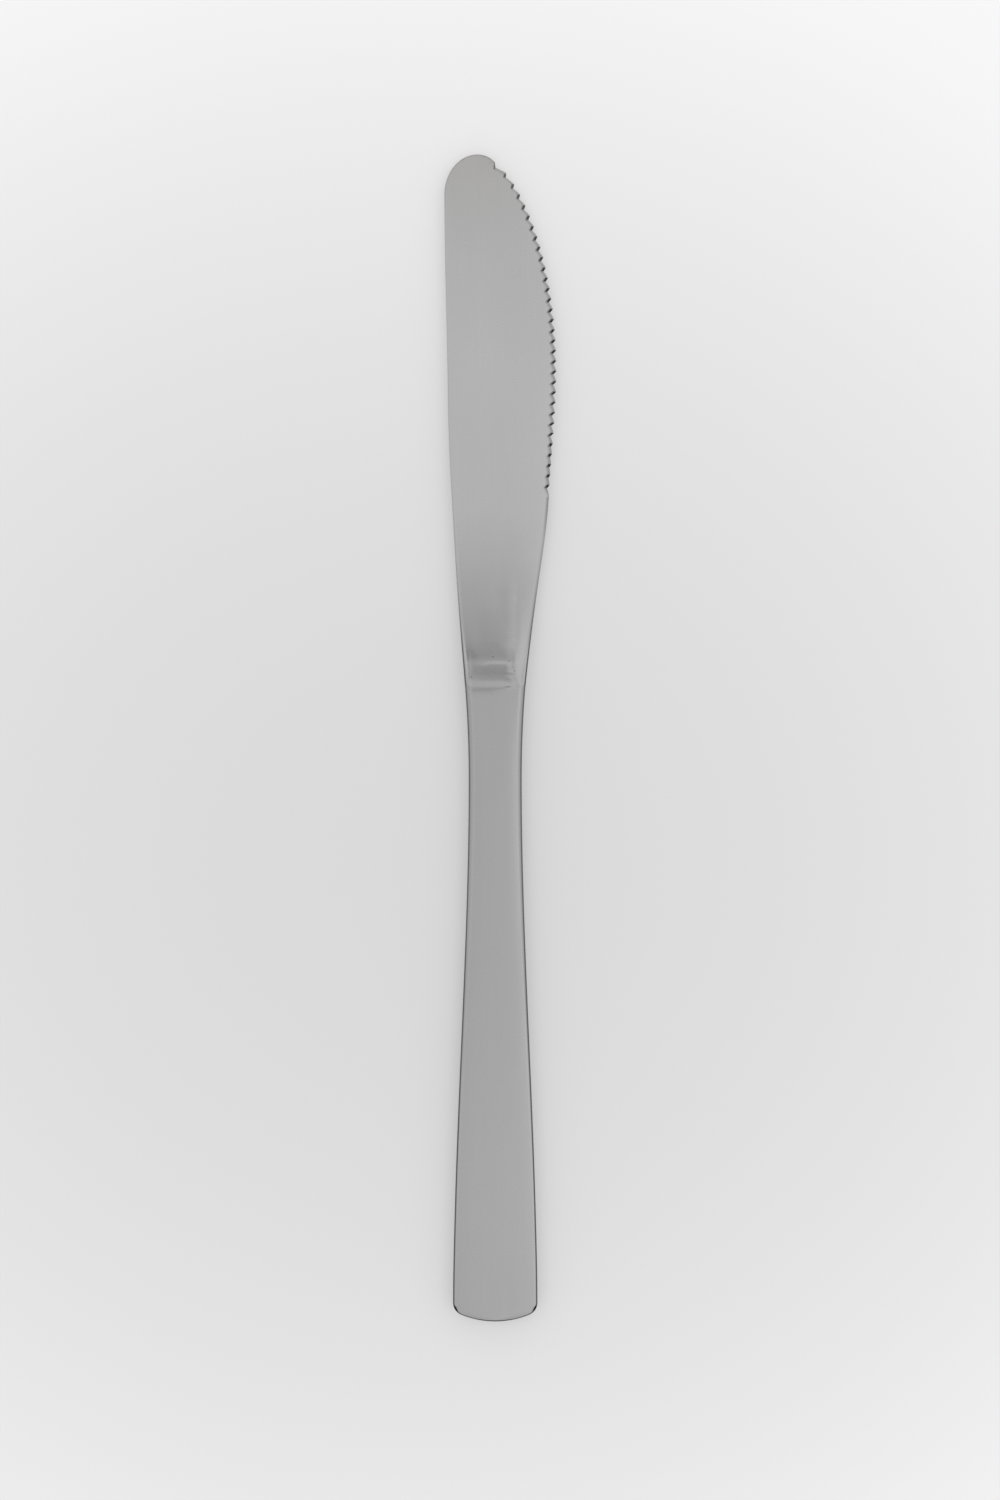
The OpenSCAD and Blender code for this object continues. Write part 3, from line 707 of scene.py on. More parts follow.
def blade_stations(shape):
    """Left and right outline points along the blade, from the joint to the tip.

    The rows lie close in the bolster, at the corners of every notch, and by angle round the nose.
    Returns the spine's places, the back and front points of the cutting edge, and flank marks."""
    back, front = shape.notch_corners()
    back, front = back[::-1, ::-1], front[::-1, ::-1]
    lower = np.minimum(NOTCH_ROWS.astype(int), 1)
    part = (NOTCH_ROWS - lower)[:, None]
    out = unit(back[:, 0] + back[:, 2] - 2 * back[:, 1])
    bulge = shape.teeth.bulge * np.sin(math.pi * np.minimum(NOTCH_ROWS, 1))[:, None] * out[:, None]
    saws = [(corners[:, lower] * (1 - part) + corners[:, lower + 1] * part + bulge).reshape(-1, 2)
            for corners in (back, front)]
    heel_end, heel_count = HEEL_END_ROWS
    heel = np.concatenate([np.arange(*rows) for rows in HEEL_ROWS]) * MM
    heel = np.concatenate([heel, np.linspace(heel_end * MM, saws[0][0, 1], heel_count)[:-1]])
    smooth_heel = np.stack([shape.cut_x(heel), heel], axis=1)
    edge_back, edge_front = [np.concatenate([smooth_heel, saw, nose_points(shape, saw[-1, 1])]) for saw in saws]
    # Painted shade on the notches' walls, nearly black where the deep shade colour is mixed in
    short, bottom, long = FLANK_SHADES
    flank = np.tile(np.where(NOTCH_ROWS > 1, long, np.where(NOTCH_ROWS == 1, bottom, short)), len(back))
    marks = np.concatenate([np.zeros(len(heel)), flank, np.zeros(NOSE_ROWS)])
    return edge_back[:, 1].copy(), edge_back, edge_front, marks


class BladeRings:
    """The parts of the blade's sections: the rounded edges on both sides and the faces between them.

    Each part is worked out for the front, sign 1, and for the back, sign -1."""

    def __init__(self, shape):
        self.shape = shape
        y, self.edge_back, self.edge_front, self.marks = blade_stations(shape)
        self.y, self.saw = y, self.marks > 0
        self.spine = np.stack([-shape.spine_x(y), y], axis=1)
        self.spine_n = -outline_normals(self.spine)
        self.envelope = np.stack([shape.cut_x(y), y], axis=1)
        self.cut_n = outline_normals(self.envelope)
        self.spine_n[-1] = self.cut_n[-1] = (0, 1)
        self.body = 1 - ease(y, shape.nose_end, BLADE_LEN, 0, 1)
        self.thin = shape.face_height(self.envelope[:, 0] - CUT_INSET * MM * self.cut_n[:, 0], y)
        spine_r, (first, second, back) = shape.sizes.spine_r, ROUND_FADES
        more = shape.joint_edge_r - spine_r
        quick, slow = ease_mm(y, 0, first, 1, 0), ease_mm(y, 0, second, 1, 0)
        self.radius = {1: spine_r + more * (ROUND_SHARE * quick + (1 - ROUND_SHARE) * slow),
                       -1: spine_r + more * ease_mm(y, 0, back, 1, 0)}

    def spine_side(self, sign):
        """Rounding, then a strip of two columns and its border: on the front the chamfer, which falls
        by its steepness times the distance to the border. Returns points and the painted edge shade."""
        steps, y = BLADE_COLUMNS[0], self.y
        radius = np.minimum(self.radius[sign], SPINE_MOST * self.shape.face_height(self.spine[:, 0], y))
        if sign > 0:
            border_w = np.maximum(table_curve(CHAMFER_W, y) * MM * self.body, radius)
        else:
            border_w = radius + BACK_STRIP * MM * self.body
        border = self.spine - border_w[:, None] * self.spine_n
        height = self.shape.face_height(border[:, 0], border[:, 1])
        inset, level = edge_profile(height, radius, steps)
        outer, inner = STRIP_COLUMNS
        strip = np.stack([np.clip(outer * MM, radius, border_w),
                          np.maximum(border_w - inner * MM, radius)], axis=1)
        inset = np.concatenate([inset, np.sort(strip, axis=1)], axis=1)
        level = np.concatenate([level, height[:, None], height[:, None]], axis=1)
        if sign > 0:
            chamfer = table_curve(CHAMFER_FALL, y) * self.body
            level = level - chamfer[:, None] * np.maximum(border_w[:, None] - inset, 0) * (level > 0)
        ring = self.spine[:, None] - inset[..., None] * self.spine_n[:, None]
        ring = np.concatenate([ring, border[:, None]], axis=1)
        ring[0, :, 1] = 0
        level = np.concatenate([level, height[:, None]], axis=1)
        # Painted shade along the spine's rounded edge
        rim = edge_shade_mask(radius, steps, RIM_W * MM) * table_curve(SPINE_RIM, y)[:, None]
        return np.concatenate([ring, sign * level[..., None]], axis=2), rim

    def cut_side(self, sign):
        """Rounding along the cutting edge, or the notches' walls, which run straight between the edge's
        back and front points. Returns points and the painted edge shade."""
        steps, saw = BLADE_COLUMNS[0], self.saw[:, None]
        radius = self.radius[sign] + (CUT_ROUND * MM - self.shape.sizes.spine_r) * self.body
        radius = np.minimum(radius, CUT_MOST * self.thin)
        point = self.edge_front if sign > 0 else self.edge_back
        inner = point - np.where(self.saw, 0, radius)[:, None] * self.cut_n
        height = self.shape.face_height(np.minimum(inner[:, 0], self.envelope[:, 0]), inner[:, 1])
        inset, level = edge_profile(height, np.minimum(radius, height * ROW_MOST), steps)
        share = np.where(saw, np.linspace(0, 1, steps), level / height[:, None])
        t = (0.5 + 0.5 * sign * share)[..., None]
        ring = self.edge_back[:, None] * (1 - t) + self.edge_front[:, None] * t
        ring = ring - np.where(saw, 0, inset)[..., None] * self.cut_n[:, None]
        ring[0, :, 1] = 0
        level = share * height[:, None]
        # Painted shade along the cutting edge's rounding, none on the notches
        rim = edge_shade_mask(radius, steps, RIM_W * MM) * np.where(saw, 0, table_curve(CUT_RIM, self.y)[:, None])
        return np.concatenate([ring, sign * level[..., None]], axis=2), rim

    def face(self, left, right, sign):
        """Columns of a face, evenly between the inner points of both sides."""
        share = np.linspace(0, 1, BLADE_COLUMNS[1] + 2)[1:-1, None]
        a, b = left[:, -1:, :2], right[:, -1:, :2]
        place = a + (b - a) * share
        level = self.shape.face_height(place[..., 0], place[..., 1])
        return np.concatenate([place, sign * level[..., None]], axis=2)


def blade_loops(shape):
    """Closed sections of the blade from the joint to the tip, how many points half of one has, and masks."""
    edge_steps, face_columns = BLADE_COLUMNS
    rings = BladeRings(shape)
    rows = len(rings.y)
    halves, rims = [], []
    for sign in (1, -1):
        (left, left_rim), (right, right_rim) = rings.spine_side(sign), rings.cut_side(sign)
        halves.append(np.concatenate([left, rings.face(left, right, sign), right[:, ::-1]], axis=1))
        rims.append(np.concatenate([left_rim, np.zeros((rows, face_columns + 3)), right_rim[:, ::-1]], axis=1))
    half = halves[0].shape[1]
    edge, ground = np.zeros((2, rows, half))
    # Painted highlight on the chamfer's strip
    edge[:, edge_steps + 1:edge_steps + 3] = table_curve(CHAMFER_HIGHLIGHT, rings.y)[:, None]
    # Painted shade on the notches' walls
    ground[:, half - edge_steps:] = rings.marks[:, None]
    loop = np.concatenate([halves[0], halves[1][:, -2:0:-1]], axis=1)
    masks = {"edge": (edge, 0 * edge), "rim": rims, "ground": (ground, ground)}
    masks = {name: np.concatenate([front, back[:, -2:0:-1]], axis=1) for name, (front, back) in masks.items()}
    # Brighter finish and painted light of the blade's flat
    masks["flat"] = flat_finish_and_light(loop[..., 0], loop[..., 1])
    return loop, half, masks


def flat_finish_and_light(x, y):
    """Share of the brighter colour, partly finish and partly painted light: along the blade, and on the margin
    beside the steps.
    """
    along = table_curve(FLAT_FINISH_AND_LIGHT, y)
    return along + (1 - along) * table_curve(MARGIN_ACROSS, x) * table_curve(MARGIN_ALONG, y)


def tang_widths(tang, length):
    """Places along the tang, as depths below the joint, and its half width there.

    The half width is the taper, less the bites, and falls along a half circle to the end."""
    end_r = tang.tang_end_w / 2
    tang_len = length - tang.spigot_len
    near_end = end_r * (1 - np.cos(np.radians(np.linspace(*TANG_END_TURN, TANG_END_ROWS))))
    depth = np.concatenate([length - near_end, np.linspace(length - end_r, tang.spigot_len, TANG_ROWS)[1:]])
    share = np.clip((depth - tang.spigot_len) / tang_len, 0, 1)
    half = (tang.tang_w + (tang.tang_end_w - tang.tang_w) * share) / 2
    for i in range(tang.bite_count):
        place = tang.spigot_len + tang_len * (i + 1) / (tang.bite_count + 1)
        chord = np.sqrt(np.clip(tang.bite_r**2 - (depth - place) ** 2, 0, None))
        half = half - np.clip(chord - (tang.bite_r - tang.bite_depth), 0, None)
    round_end = np.sqrt(np.clip(end_r**2 - (depth - (length - end_r)) ** 2, 0, None))
    return depth, np.where(depth > length - end_r, round_end, half)


def tang_loops(scene, half_columns):
    """Sections of the tang and spigot, from the tang's end to the joint.

    The spigot follows the handle's parabola, less the wall and the seat's gap."""
    edge_steps = BLADE_COLUMNS[0]
    tang, handle = scene.knife_tang, scene.knife_handle
    depth, half = tang_widths(tang, JOINT_Y - BLADE_LOW.y)
    seat = handle.wall_t + tang.seat_gap
    spigot = np.linspace(tang.spigot_len, 0, SPIGOT_ROWS)
    neck = handle.neck_w / 2 + (handle.joint_w - handle.neck_w) / 2 * (1 - spigot / handle.neck_y) ** 2

    def joined(on_tang, on_spigot):
        return np.concatenate([np.full(len(half), on_tang), np.full(SPIGOT_ROWS, on_spigot)])

    thick = joined(tang.tang_t / 2, HANDLE_T / 2 - seat)
    radius = joined(TANG_EDGE_R * MM, handle.edge_r - handle.wall_t)
    depth, half = np.concatenate([depth, spigot]), np.concatenate([half, neck - seat])
    inset, level = edge_profile(thick, np.minimum(radius, half / 2), edge_steps)
    right = np.stack([half[:, None] - inset, np.broadcast_to(-depth[:, None], inset.shape), level], axis=-1)
    left = right * (-1, 1, 1)
    share = np.linspace(0, 1, half_columns - 2 * edge_steps + 2)[1:-1, None]
    face = left[:, -1:] + (right[:, -1:] - left[:, -1:]) * share
    front = np.concatenate([left, face, right[:, ::-1]], axis=1)
    back = front * (1, 1, -1)
    return np.concatenate([front, back[:, -2:0:-1]], axis=1)


def build_blade(material):
    """Blade, bolster, spigot and tang as one closed loft from the tang's end to the nose."""
    scene = bpy.context.scene
    loop, half, masks = blade_loops(BladeShape(scene))
    inner = tang_loops(scene, half)
    points = np.concatenate([inner, loop])
    pad = np.zeros(inner.shape[:2])
    masks = {name: np.concatenate([pad, mask]) for name, mask in masks.items()}
    rows, columns = points.shape[:2]
    points[..., 1] += JOINT_Y
    points[..., 2] += MID_Z
    quads = loft_quads(rows, columns)
    j = np.arange(half - 1)
    opposite = (columns - j) % columns
    cap = np.stack([opposite, (columns - j - 1) % columns, j + 1, j], axis=1)
    quads = np.concatenate([quads, cap])
    return finish_piece("knife_blade", "blade", points.reshape(-1, 3), quads, masks, material)


# ---------------------------------------------------------------------------- node groups


# Patterns to a metre along the three axes: streaks and clouds of the grain, and patches of worn edges
STREAKS, CLOUDS, PATCHES = (1400, 45, 1400), (90, 40, 90), (300, 120, 300)
# Stretch of the fine grain, the shares of streaks and clouds in the tone, and the grain's swing in roughness
GRAIN_STRETCH, STREAK_SHARE, CLOUD_SHARE, GLOSS_SWING = (1, 0.75, 1), 0.35, 0.65, 0.14
# What the patches of worn edges gain, and the distance at which a pit has faded, in its own radii
PATCH_GAIN, PIT_REACH = 0.2, 1.6


class NodeSheet:
    """Short way to add nodes to a tree and link them."""

    def __init__(self, tree):
        self.tree = tree

    def add(self, kind, **settings):
        """Node of a kind, with its settings."""
        node = self.tree.nodes.new(kind)
        for name, value in settings.items():
            setattr(node, name, value)
        return node

    def feed(self, socket, value):
        """Links an output to the socket, or sets its value."""
        if isinstance(value, bpy.types.NodeSocket):
            self.tree.links.new(value, socket)
        else:
            socket.default_value = value

    def feed_all(self, node, *values):
        """Feeds the node's first inputs in order. Returns the node."""
        for socket, value in zip(node.inputs, values):
            self.feed(socket, value)
        return node

    def math(self, operation, a, b=0.0, clamp=False):
        """Number that an operation makes of two numbers."""
        return self.feed_all(self.add("ShaderNodeMath", operation=operation, use_clamp=clamp), a, b).outputs[0]

    def vector(self, operation, a, b=(0, 0, 0)):
        """Outputs of an operation on one or two vectors."""
        return self.feed_all(self.add("ShaderNodeVectorMath", operation=operation), a, b).outputs

    def scaled(self, vector, factor):
        """Vector or colour times a number."""
        node = self.feed_all(self.add("ShaderNodeVectorMath", operation="SCALE"), vector)
        self.feed(node.inputs["Scale"], factor)
        return node.outputs[0]

    def stretched(self, vector, scale):
        """Vector times another, axis by axis."""
        return self.vector("MULTIPLY", vector, scale)[0]

    def mix(self, factor, a, b, blend="MIX"):
        """Colour a where the factor is 0 and b, or their blend, where it is 1."""
        node = self.add("ShaderNodeMix", data_type="RGBA", blend_type=blend)
        self.feed(node.inputs["Factor"], factor)
        self.feed(node.inputs[6], a)
        self.feed(node.inputs[7], b)
        return node.outputs[2]

    def noise(self, vector, scale, detail=2.0):
        """Noise from 0 to 1."""
        node = self.add("ShaderNodeTexNoise")
        self.feed(node.inputs["Vector"], vector)
        node.inputs["Scale"].default_value = scale
        node.inputs["Detail"].default_value = detail
        return node.outputs["Fac"]

    def place(self, kind="Object"):
        """Coordinates of the shaded point."""
        return self.add("ShaderNodeTexCoord").outputs[kind]

    def mask(self, name):
        """The piece's own mask of that name."""
        return self.add("ShaderNodeAttribute", attribute_name=name).outputs["Fac"]

    def bump(self, height, strength, distance):
        """Normal that a height gives."""
        node = self.add("ShaderNodeBump")
        node.inputs["Strength"].default_value = strength
        node.inputs["Distance"].default_value = distance
        self.feed(node.inputs["Height"], height)
        return node.outputs["Normal"]


def new_group(name, inputs, outputs):
    """Empty node group with named sockets. Returns its sheet, its inputs and its output node."""
    group = bpy.data.node_groups.new(name, "ShaderNodeTree")
    for label, kind, value in inputs:
        socket = group.interface.new_socket(label, in_out="INPUT", socket_type=kind)
        socket.default_value = value
    for label, kind in outputs:
        group.interface.new_socket(label, in_out="OUTPUT", socket_type=kind)
    sheet = NodeSheet(group)
    return sheet, sheet.add("NodeGroupInput").outputs, sheet.add("NodeGroupOutput").inputs


def satin_grain_group():
    """Satin grain: fine noise for height and gloss, faint streaks along the knife, and slow clouds."""
    sheet, given, out = new_group(
        "satin_grain",
        [("Color", "NodeSocketColor", (0.5, 0.5, 0.5, 1)), ("Roughness", "NodeSocketFloat", 0.4),
         ("Grain", "NodeSocketFloat", 0.0002), ("Variation", "NodeSocketFloat", 0.05)],
        [("Color", "NodeSocketColor"), ("Roughness", "NodeSocketFloat"), ("Height", "NodeSocketFloat")])
    place = sheet.place()
    fine = sheet.scaled(place, sheet.math("DIVIDE", 1.0, given["Grain"]))
    grain = sheet.noise(sheet.stretched(fine, GRAIN_STRETCH), 1, 3)
    streak = sheet.noise(sheet.stretched(place, STREAKS), 1, 2)
    cloud = sheet.noise(sheet.stretched(place, CLOUDS), 1, 2)
    wave = sheet.math("ADD", sheet.math("MULTIPLY", streak, STREAK_SHARE),
                      sheet.math("MULTIPLY", cloud, CLOUD_SHARE))
    swing = sheet.math("MULTIPLY", sheet.math("SUBTRACT", wave, 0.5), given["Variation"])
    speck = sheet.math("MULTIPLY", sheet.math("SUBTRACT", grain, 0.5), given["Variation"])
    tone = sheet.math("ADD", 1.0, sheet.math("ADD", swing, speck))
    sheet.feed(out["Color"], sheet.scaled(given["Color"], tone))
    gloss = sheet.math("MULTIPLY", sheet.math("SUBTRACT", grain, 0.5), GLOSS_SWING)
    sheet.feed(out["Roughness"], sheet.math("ADD", given["Roughness"], gloss, clamp=True))
    sheet.feed(out["Height"], grain)
    return sheet.tree


def edge_wear_and_highlight_group():
    """Polished edge and painted highlight: where the mask is 1, the colour turns lighter and the surface
    smoother.
    """
    sheet, given, out = new_group(
        "edge_wear_and_highlight",
        [("Color", "NodeSocketColor", (0.5, 0.5, 0.5, 1)), ("Roughness", "NodeSocketFloat", 0.4),
         ("Mask", "NodeSocketFloat", 0), ("Lighter", "NodeSocketFloat", 1.15),
         ("Smoother", "NodeSocketFloat", 0.06)],
        [("Color", "NodeSocketColor"), ("Roughness", "NodeSocketFloat")])
    patchy = sheet.noise(sheet.stretched(sheet.place(), PATCHES), 1, 2)
    amount = sheet.math("MULTIPLY", given["Mask"], sheet.math("ADD", patchy, PATCH_GAIN, clamp=True))
    lighter = sheet.scaled(given["Color"], given["Lighter"])
    sheet.feed(out["Color"], sheet.mix(amount, given["Color"], lighter))
    drop = sheet.math("MULTIPLY", amount, given["Smoother"])
    sheet.feed(out["Roughness"], sheet.math("SUBTRACT", given["Roughness"], drop, clamp=True))
    return sheet.tree


def dark_pits_group():
    """Pits: round dark spots at given places, as one mask that is 1 inside a pit."""
    sheet, _, out = new_group("dark_pits", [], [("Mask", "NodeSocketFloat")])
    flat, total = sheet.stretched(sheet.place(), (1, 1, 0)), 0.0
    for x, y, radius in PITS:
        away = sheet.vector("DISTANCE", flat, (x * MM, JOINT_Y + y * MM, 0))["Value"]
        near = sheet.math("DIVIDE", away, radius * MM)
        total = sheet.math("MAXIMUM", total, sheet.math("SUBTRACT", PIT_REACH, near, clamp=True))
    sheet.feed(out["Mask"], total)
    return sheet.tree


def soft_light_group():
    """Soft light from one side of the sky: strength times the cosine to its middle, to a power."""
    sheet, given, out = new_group(
        "soft_light",
        [("Toward", "NodeSocketVector", (0, 0, 1)), ("Tightness", "NodeSocketFloat", 8),
         ("Strength", "NodeSocketFloat", 0.3)],
        [("Light", "NodeSocketFloat")])
    toward = sheet.vector("NORMALIZE", given["Toward"])[0]
    cosine = sheet.vector("DOT_PRODUCT", sheet.place("Generated"), toward)["Value"]
    lobe = sheet.math("POWER", sheet.math("MAXIMUM", cosine, 0.0), given["Tightness"])
    sheet.feed(out["Light"], sheet.math("MULTIPLY", lobe, given["Strength"]))
    return sheet.tree


GROUP_MAKERS = {
    "satin_grain": satin_grain_group,
    "edge_wear_and_highlight": edge_wear_and_highlight_group,
    "dark_pits": dark_pits_group,
    "soft_light": soft_light_group,
}


def use_group(sheet, name, **values):
    """Node that uses a shared group, which is made the first time."""
    node = sheet.add("ShaderNodeGroup", node_tree=bpy.data.node_groups.get(name) or GROUP_MAKERS[name]())
    for label, value in values.items():
        sheet.feed(node.inputs[label], value)
    return node.outputs


# ---------------------------------------------------------------------------- materials


# Colours that the steel turns to: in the painted edge shade, in the nearly black painted shade, in a pit,
# and times this at the nose
EDGE_SHADE_TONE, DEEP_SHADE_TONE, PIT_TONE = (0.12, 0.12, 0.12, 1), (0.008, 0.008, 0.008, 1), (0.12, 0.115, 0.11, 1)
NOSE_TINT = (1.01, 0.99, 0.97, 1)
# Distance from the joint at which that tint starts, and its growth to a metre, both in metres
TINT_START, TINT_GROWTH = 0.088, 60
# Variation of the steel's tone, its bump's strength and height in mm, and how dark and deep a pit is
STEEL_VARIATION, STEEL_BUMP, PIT_DARK, PIT_DEPTH = 0.09, (0.2, 0.01), 0.55, 6.0
# Grains of the cement to a metre, coarse and fine, their shares in its tone, and its darkest and lightest
# colour against the given one
CEMENT_GRAINS, CEMENT_SHARES = (1500, 6000), (0.6, 0.4)
CEMENT_DARK, CEMENT_LIGHT = (0.75, 0.74, 0.7), (1.15, 1.15, 1.15)
# Its roughness, with what the fine grains add, and its bump's strength and height in mm
CEMENT_ROUGH, CEMENT_BUMP = (0.75, 0.2), (0.5, 0.1)


def new_material(name):
    """Material with nodes. Returns it, its sheet and its shader."""
    material = bpy.data.materials.new(name)
    material.use_nodes = True
    return material, NodeSheet(material.node_tree), material.node_tree.nodes["Principled BSDF"]


def satin_steel(name, finish, pits=False):
    """Satin steel: grain, polished edges with painted highlights, painted shade along rounded edges, nearly
    black painted shade on the notches' walls, the blade's brighter colour where the mask says, partly finish
    and partly painted light, a faintly warm nose, and dark pits on the bolster."""
    material, sheet, shader = new_material(name)
    shader.inputs["Metallic"].default_value = 1.0
    along = sheet.add("ShaderNodeSeparateXYZ")
    sheet.feed(along.inputs[0], sheet.place())
    # The blade's brighter colour, partly its finish and partly painted light
    base = sheet.mix(sheet.mask("flat"), (*finish.handle_color, 1), (*finish.blade_color, 1))
    past = sheet.math("SUBTRACT", along.outputs["Y"], JOINT_Y + TINT_START)
    base = sheet.mix(sheet.math("MULTIPLY", past, TINT_GROWTH, clamp=True), base, NOSE_TINT, blend="MULTIPLY")
    grainy = use_group(sheet, "satin_grain", Color=base, Roughness=finish.roughness, Grain=finish.grain,
                       Variation=STEEL_VARIATION)
    # Lighter where the handle's edges are polished and where a highlight is painted on the chamfer
    worn = use_group(sheet, "edge_wear_and_highlight", Color=grainy["Color"], Roughness=grainy["Roughness"],
                     Mask=sheet.mask("edge"))
    # Painted shade on the rounded edges
    tone = sheet.mix(sheet.mask("rim"), worn["Color"], EDGE_SHADE_TONE)
    # Nearly black painted shade on the notches' walls, and more shade on the butt's end and corners
    tone = sheet.mix(sheet.mask("ground"), tone, DEEP_SHADE_TONE)
    height = grainy["Height"]
    if pits:
        pit = use_group(sheet, "dark_pits")["Mask"]
        tone = sheet.mix(sheet.math("MULTIPLY", pit, PIT_DARK), tone, PIT_TONE)
        height = sheet.math("SUBTRACT", height, sheet.math("MULTIPLY", pit, PIT_DEPTH))
    sheet.feed(shader.inputs["Base Color"], tone)
    sheet.feed(shader.inputs["Roughness"], worn["Roughness"])
    strength, distance = STEEL_BUMP
    sheet.feed(shader.inputs["Normal"], sheet.bump(height, strength, distance * MM))
    return material


def handle_cement(color):
    """Matte cement: grains of two sizes in the colour and the height."""
    material, sheet, shader = new_material("handle_cement")
    place = sheet.place()
    coarse = sheet.noise(place, CEMENT_GRAINS[0], 3)
    fine = sheet.noise(place, CEMENT_GRAINS[1], 2)
    amount = sheet.math("ADD", sheet.math("MULTIPLY", coarse, CEMENT_SHARES[0]),
                        sheet.math("MULTIPLY", fine, CEMENT_SHARES[1]))
    dark, light = [(*(channel * share for channel, share in zip(color, shares)), 1)
                   for shares in (CEMENT_DARK, CEMENT_LIGHT)]
    sheet.feed(shader.inputs["Base Color"], sheet.mix(amount, dark, light))
    rough, more = CEMENT_ROUGH
    sheet.feed(shader.inputs["Roughness"], sheet.math("ADD", rough, sheet.math("MULTIPLY", fine, more)))
    strength, distance = CEMENT_BUMP
    sheet.feed(shader.inputs["Normal"], sheet.bump(amount, strength, distance * MM))
    return material


# Middle of the floor's darkest place in metres, across and along from the joint, how fast the floor lightens
# around it, the most that it lightens by, and how softly it gets there. The lightening is painted light.
FLOOR_MIDDLE, FLOOR_SPREAD, FLOOR_MOST, FLOOR_SOFT = (-0.018, -0.032), (2.88, 3.17, 0), 1.34, 0.12


def pale_floor(color, glow):
    """Matte floor, whose colour lightens with the square of the distance from a place beside the knife: painted
    light.

    A share of its colour glows toward the camera and in reflections, so that the shadow stays soft."""
    material, sheet, shader = new_material("pale_floor")
    middle = (FLOOR_MIDDLE[0], JOINT_Y + FLOOR_MIDDLE[1], 0)
    squeezed = sheet.stretched(sheet.vector("SUBTRACT", sheet.place(), middle)[0], FLOOR_SPREAD)
    square = sheet.vector("DOT_PRODUCT", squeezed, squeezed)["Value"]
    soft = sheet.add("ShaderNodeMath", operation="SMOOTH_MIN")
    painted_lift = sheet.feed_all(soft, sheet.math("ADD", square, 1.0), FLOOR_MOST, FLOOR_SOFT).outputs[0]
    for socket, share in (("Base Color", 1 - glow), ("Emission Color", glow)):
        sheet.feed(shader.inputs[socket], sheet.scaled([channel * share for channel in color], painted_lift))
    path = sheet.add("ShaderNodeLightPath")
    shown = sheet.math("MAXIMUM", path.outputs["Is Camera Ray"], path.outputs["Is Glossy Ray"])
    sheet.feed(shader.inputs["Emission Strength"],
               sheet.math("MAXIMUM", shown, path.outputs["Is Transmission Ray"]))
    shader.inputs["Roughness"].default_value = 1.0
    shader.inputs["Specular IOR Level"].default_value = 0.0
    return material


# ---------------------------------------------------------------------------- stage


# Level of the sky before the camera, its even level on the object, and its soft lights there as direction,
# tightness and strength
SKY_SHOWN, SKY_LEVEL = 0.955, 0.692
SOFT_LIGHTS = [
    ((0.55, 0.05, 0.8), 10, 0.22),
    ((0.25, -0.15, 0.95), 40, 0.14),
    ((0, -0.5, 0.85), 8, 0.1),
    ((0, 0.4, 0.9), 20, -1.3),
    ((0, 0.62, 0.78), 8, 0.65),
    ((0.3, 0.3, 0.9), 18, 0.15),
    ((-0.3, 0.3, 0.9), 18, 0.27),
    ((-0.03, 0.15, 1), 140, 0.5),
]
# What the camera looks at: across and along from the joint, and its height, in mm
VIEW_MIDDLE, VIEW_HEIGHT = (0.9, -11.41), 4.2
# Angle of the sky that the soft lamp fills
LAMP_ANGLE = math.radians(60)


def build_floor(stage):
    """Plane at the height on which the knife lies."""
    half = stage.floor_size / 2
    mesh = bpy.data.meshes.new("floor")
    mesh.from_pydata([(-half, -half, 0), (half, -half, 0), (half, half, 0), (-half, half, 0)], [],
                     [(0, 1, 2, 3)])
    mesh.materials.append(pale_floor(stage.floor_color, stage.floor_glow))
    add_object("floor", mesh)


def build_sky():
    """Soft studio sky: an even level, brighter toward both sides and the handle's end, and a darker
    patch beyond the tip, which the bolster's ramp mirrors."""
    world = bpy.data.worlds.new("studio")
    world.use_nodes = True
    bpy.context.scene.world = world
    sheet = NodeSheet(world.node_tree)
    level = SKY_LEVEL
    for toward, tightness, strength in SOFT_LIGHTS:
        light = use_group(sheet, "soft_light", Toward=toward, Tightness=tightness, Strength=strength)
        level = sheet.math("ADD", level, light["Light"])
    path = sheet.add("ShaderNodeLightPath")
    seen = path.outputs["Is Camera Ray"]
    shown = sheet.math("ADD", sheet.math("MULTIPLY", seen, SKY_SHOWN),
                       sheet.math("MULTIPLY", sheet.math("SUBTRACT", 1.0, seen), level))
    background = world.node_tree.nodes["Background"]
    sheet.feed(background.inputs["Strength"], shown)
    background.inputs["Color"].default_value = (1, 1, 1, 1)


def build_lamp(strength):
    """Wide soft lamp straight above, which lights the floor and doesn't show in the steel."""
    data = bpy.data.lights.new("top_lamp", "SUN")
    data.energy = strength
    data.angle = LAMP_ANGLE
    lamp = add_object("top_lamp", data)
    lamp.location = (0, 0, 1)
    lamp.visible_glossy = False


def build_camera(stage):
    """Camera straight over the knife, at the place that the photograph's middle shows."""
    data = bpy.data.cameras.new("camera")
    data.lens = stage.lens
    data.sensor_fit = "AUTO"
    data.sensor_width = 36
    camera = add_object("camera", data)
    camera.location = (VIEW_MIDDLE[0] * MM, JOINT_Y + VIEW_MIDDLE[1] * MM, stage.distance + VIEW_HEIGHT * MM)
    bpy.context.scene.camera = camera


# ---------------------------------------------------------------------------- operators


class KNIFE_OT_blade(bpy.types.Operator):
    """Builds the blade with its bolster and tang"""

    bl_idname = "knife.blade"
    bl_label = "Blade"

    def execute(self, context):
        build_blade(satin_steel("blade_steel", context.scene.knife_finish, pits=True))
        return {"FINISHED"}


class KNIFE_OT_handle(bpy.types.Operator):
    """Builds the two pressed shells of the handle"""

    bl_idname = "knife.handle"
    bl_label = "Handle shells"

    def execute(self, context):
        steel = satin_steel("handle_steel", context.scene.knife_finish)
        build_shell("knife_front_shell", "handle_front_shell", 1, steel)
        build_shell("knife_back_shell", "handle_back_shell", -1, steel)
        return {"FINISHED"}


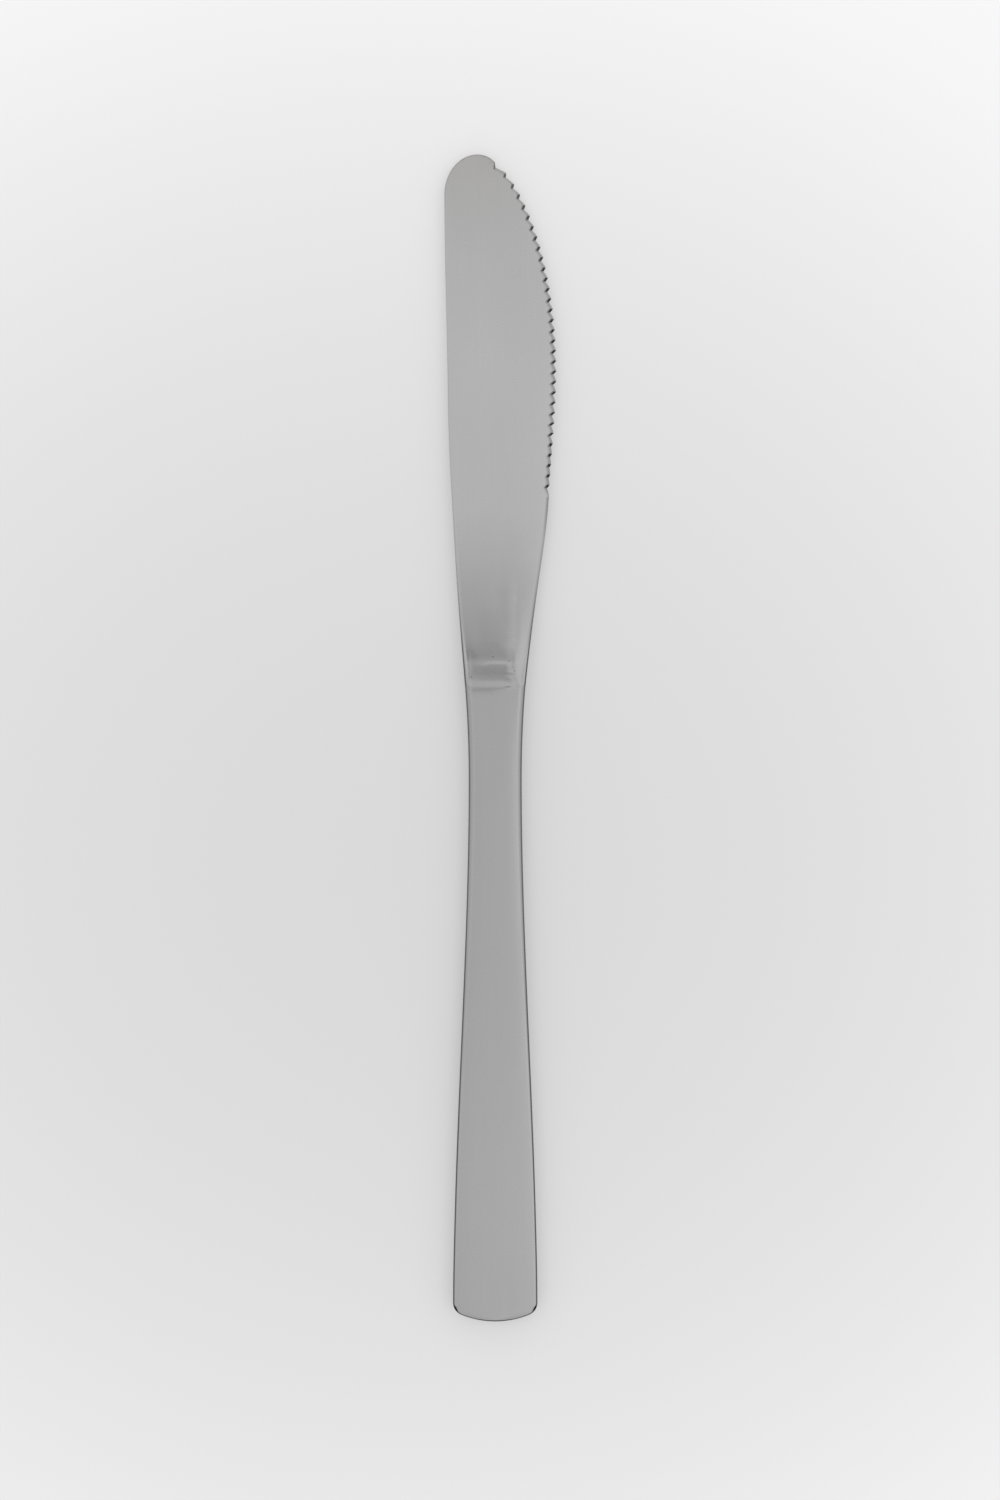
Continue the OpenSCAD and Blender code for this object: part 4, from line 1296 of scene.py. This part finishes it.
class KNIFE_OT_cement(bpy.types.Operator):
    """Gives the core inside the handle its cement"""

    bl_idname = "knife.cement"
    bl_label = "Handle cement"

    def execute(self, context):
        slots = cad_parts["handle_core"].data.materials
        slots.clear()
        slots.append(handle_cement(context.scene.knife_finish.cement_color))
        return {"FINISHED"}


class KNIFE_OT_stage(bpy.types.Operator):
    """Sets up the floor, the soft light and the camera"""

    bl_idname = "knife.stage"
    bl_label = "Stage"

    def execute(self, context):
        stage = context.scene.knife_stage
        build_floor(stage)
        build_sky()
        build_lamp(stage.top_lamp)
        build_camera(stage)
        context.scene.view_settings.view_transform = "Standard"
        return {"FINISHED"}


class KNIFE_PT_panel(bpy.types.Panel):
    """Sizes, finish and the steps that build the knife"""

    bl_idname = "KNIFE_PT_panel"
    bl_label = "Table knife"
    bl_space_type = "VIEW_3D"
    bl_region_type = "UI"
    bl_category = "Table knife"

    def draw(self, context):
        for name in PROPERTY_GROUPS:
            group = getattr(context.scene, name)
            box = self.layout.box()
            for label in group.__annotations__:
                box.prop(group, label)
        for operator in OPERATORS:
            self.layout.operator(operator.bl_idname)


PROPERTY_GROUPS = {
    "knife_handle": KnifeHandleSizes,
    "knife_blade": KnifeBladeSizes,
    "knife_serration": KnifeSerrationSizes,
    "knife_tang": KnifeTangSizes,
    "knife_finish": KnifeFinish,
    "knife_stage": KnifeStage,
}
OPERATORS = (KNIFE_OT_blade, KNIFE_OT_handle, KNIFE_OT_cement, KNIFE_OT_stage)


def register():
    """Registers the classes and hangs the sizes on the scene."""
    for name, group in PROPERTY_GROUPS.items():
        bpy.utils.register_class(group)
        setattr(bpy.types.Scene, name, PointerProperty(type=group))
    for operator in (*OPERATORS, KNIFE_PT_panel):
        bpy.utils.register_class(operator)


def unregister():
    """Takes all of it away again."""
    for operator in reversed((*OPERATORS, KNIFE_PT_panel)):
        bpy.utils.unregister_class(operator)
    for name, group in reversed(PROPERTY_GROUPS.items()):
        delattr(bpy.types.Scene, name)
        bpy.utils.unregister_class(group)


def main():
    """Builds the knife and the stage."""
    register()
    bpy.ops.knife.blade()
    bpy.ops.knife.handle()
    bpy.ops.knife.cement()
    bpy.ops.knife.stage()


if __name__ == "__main__":
    main()
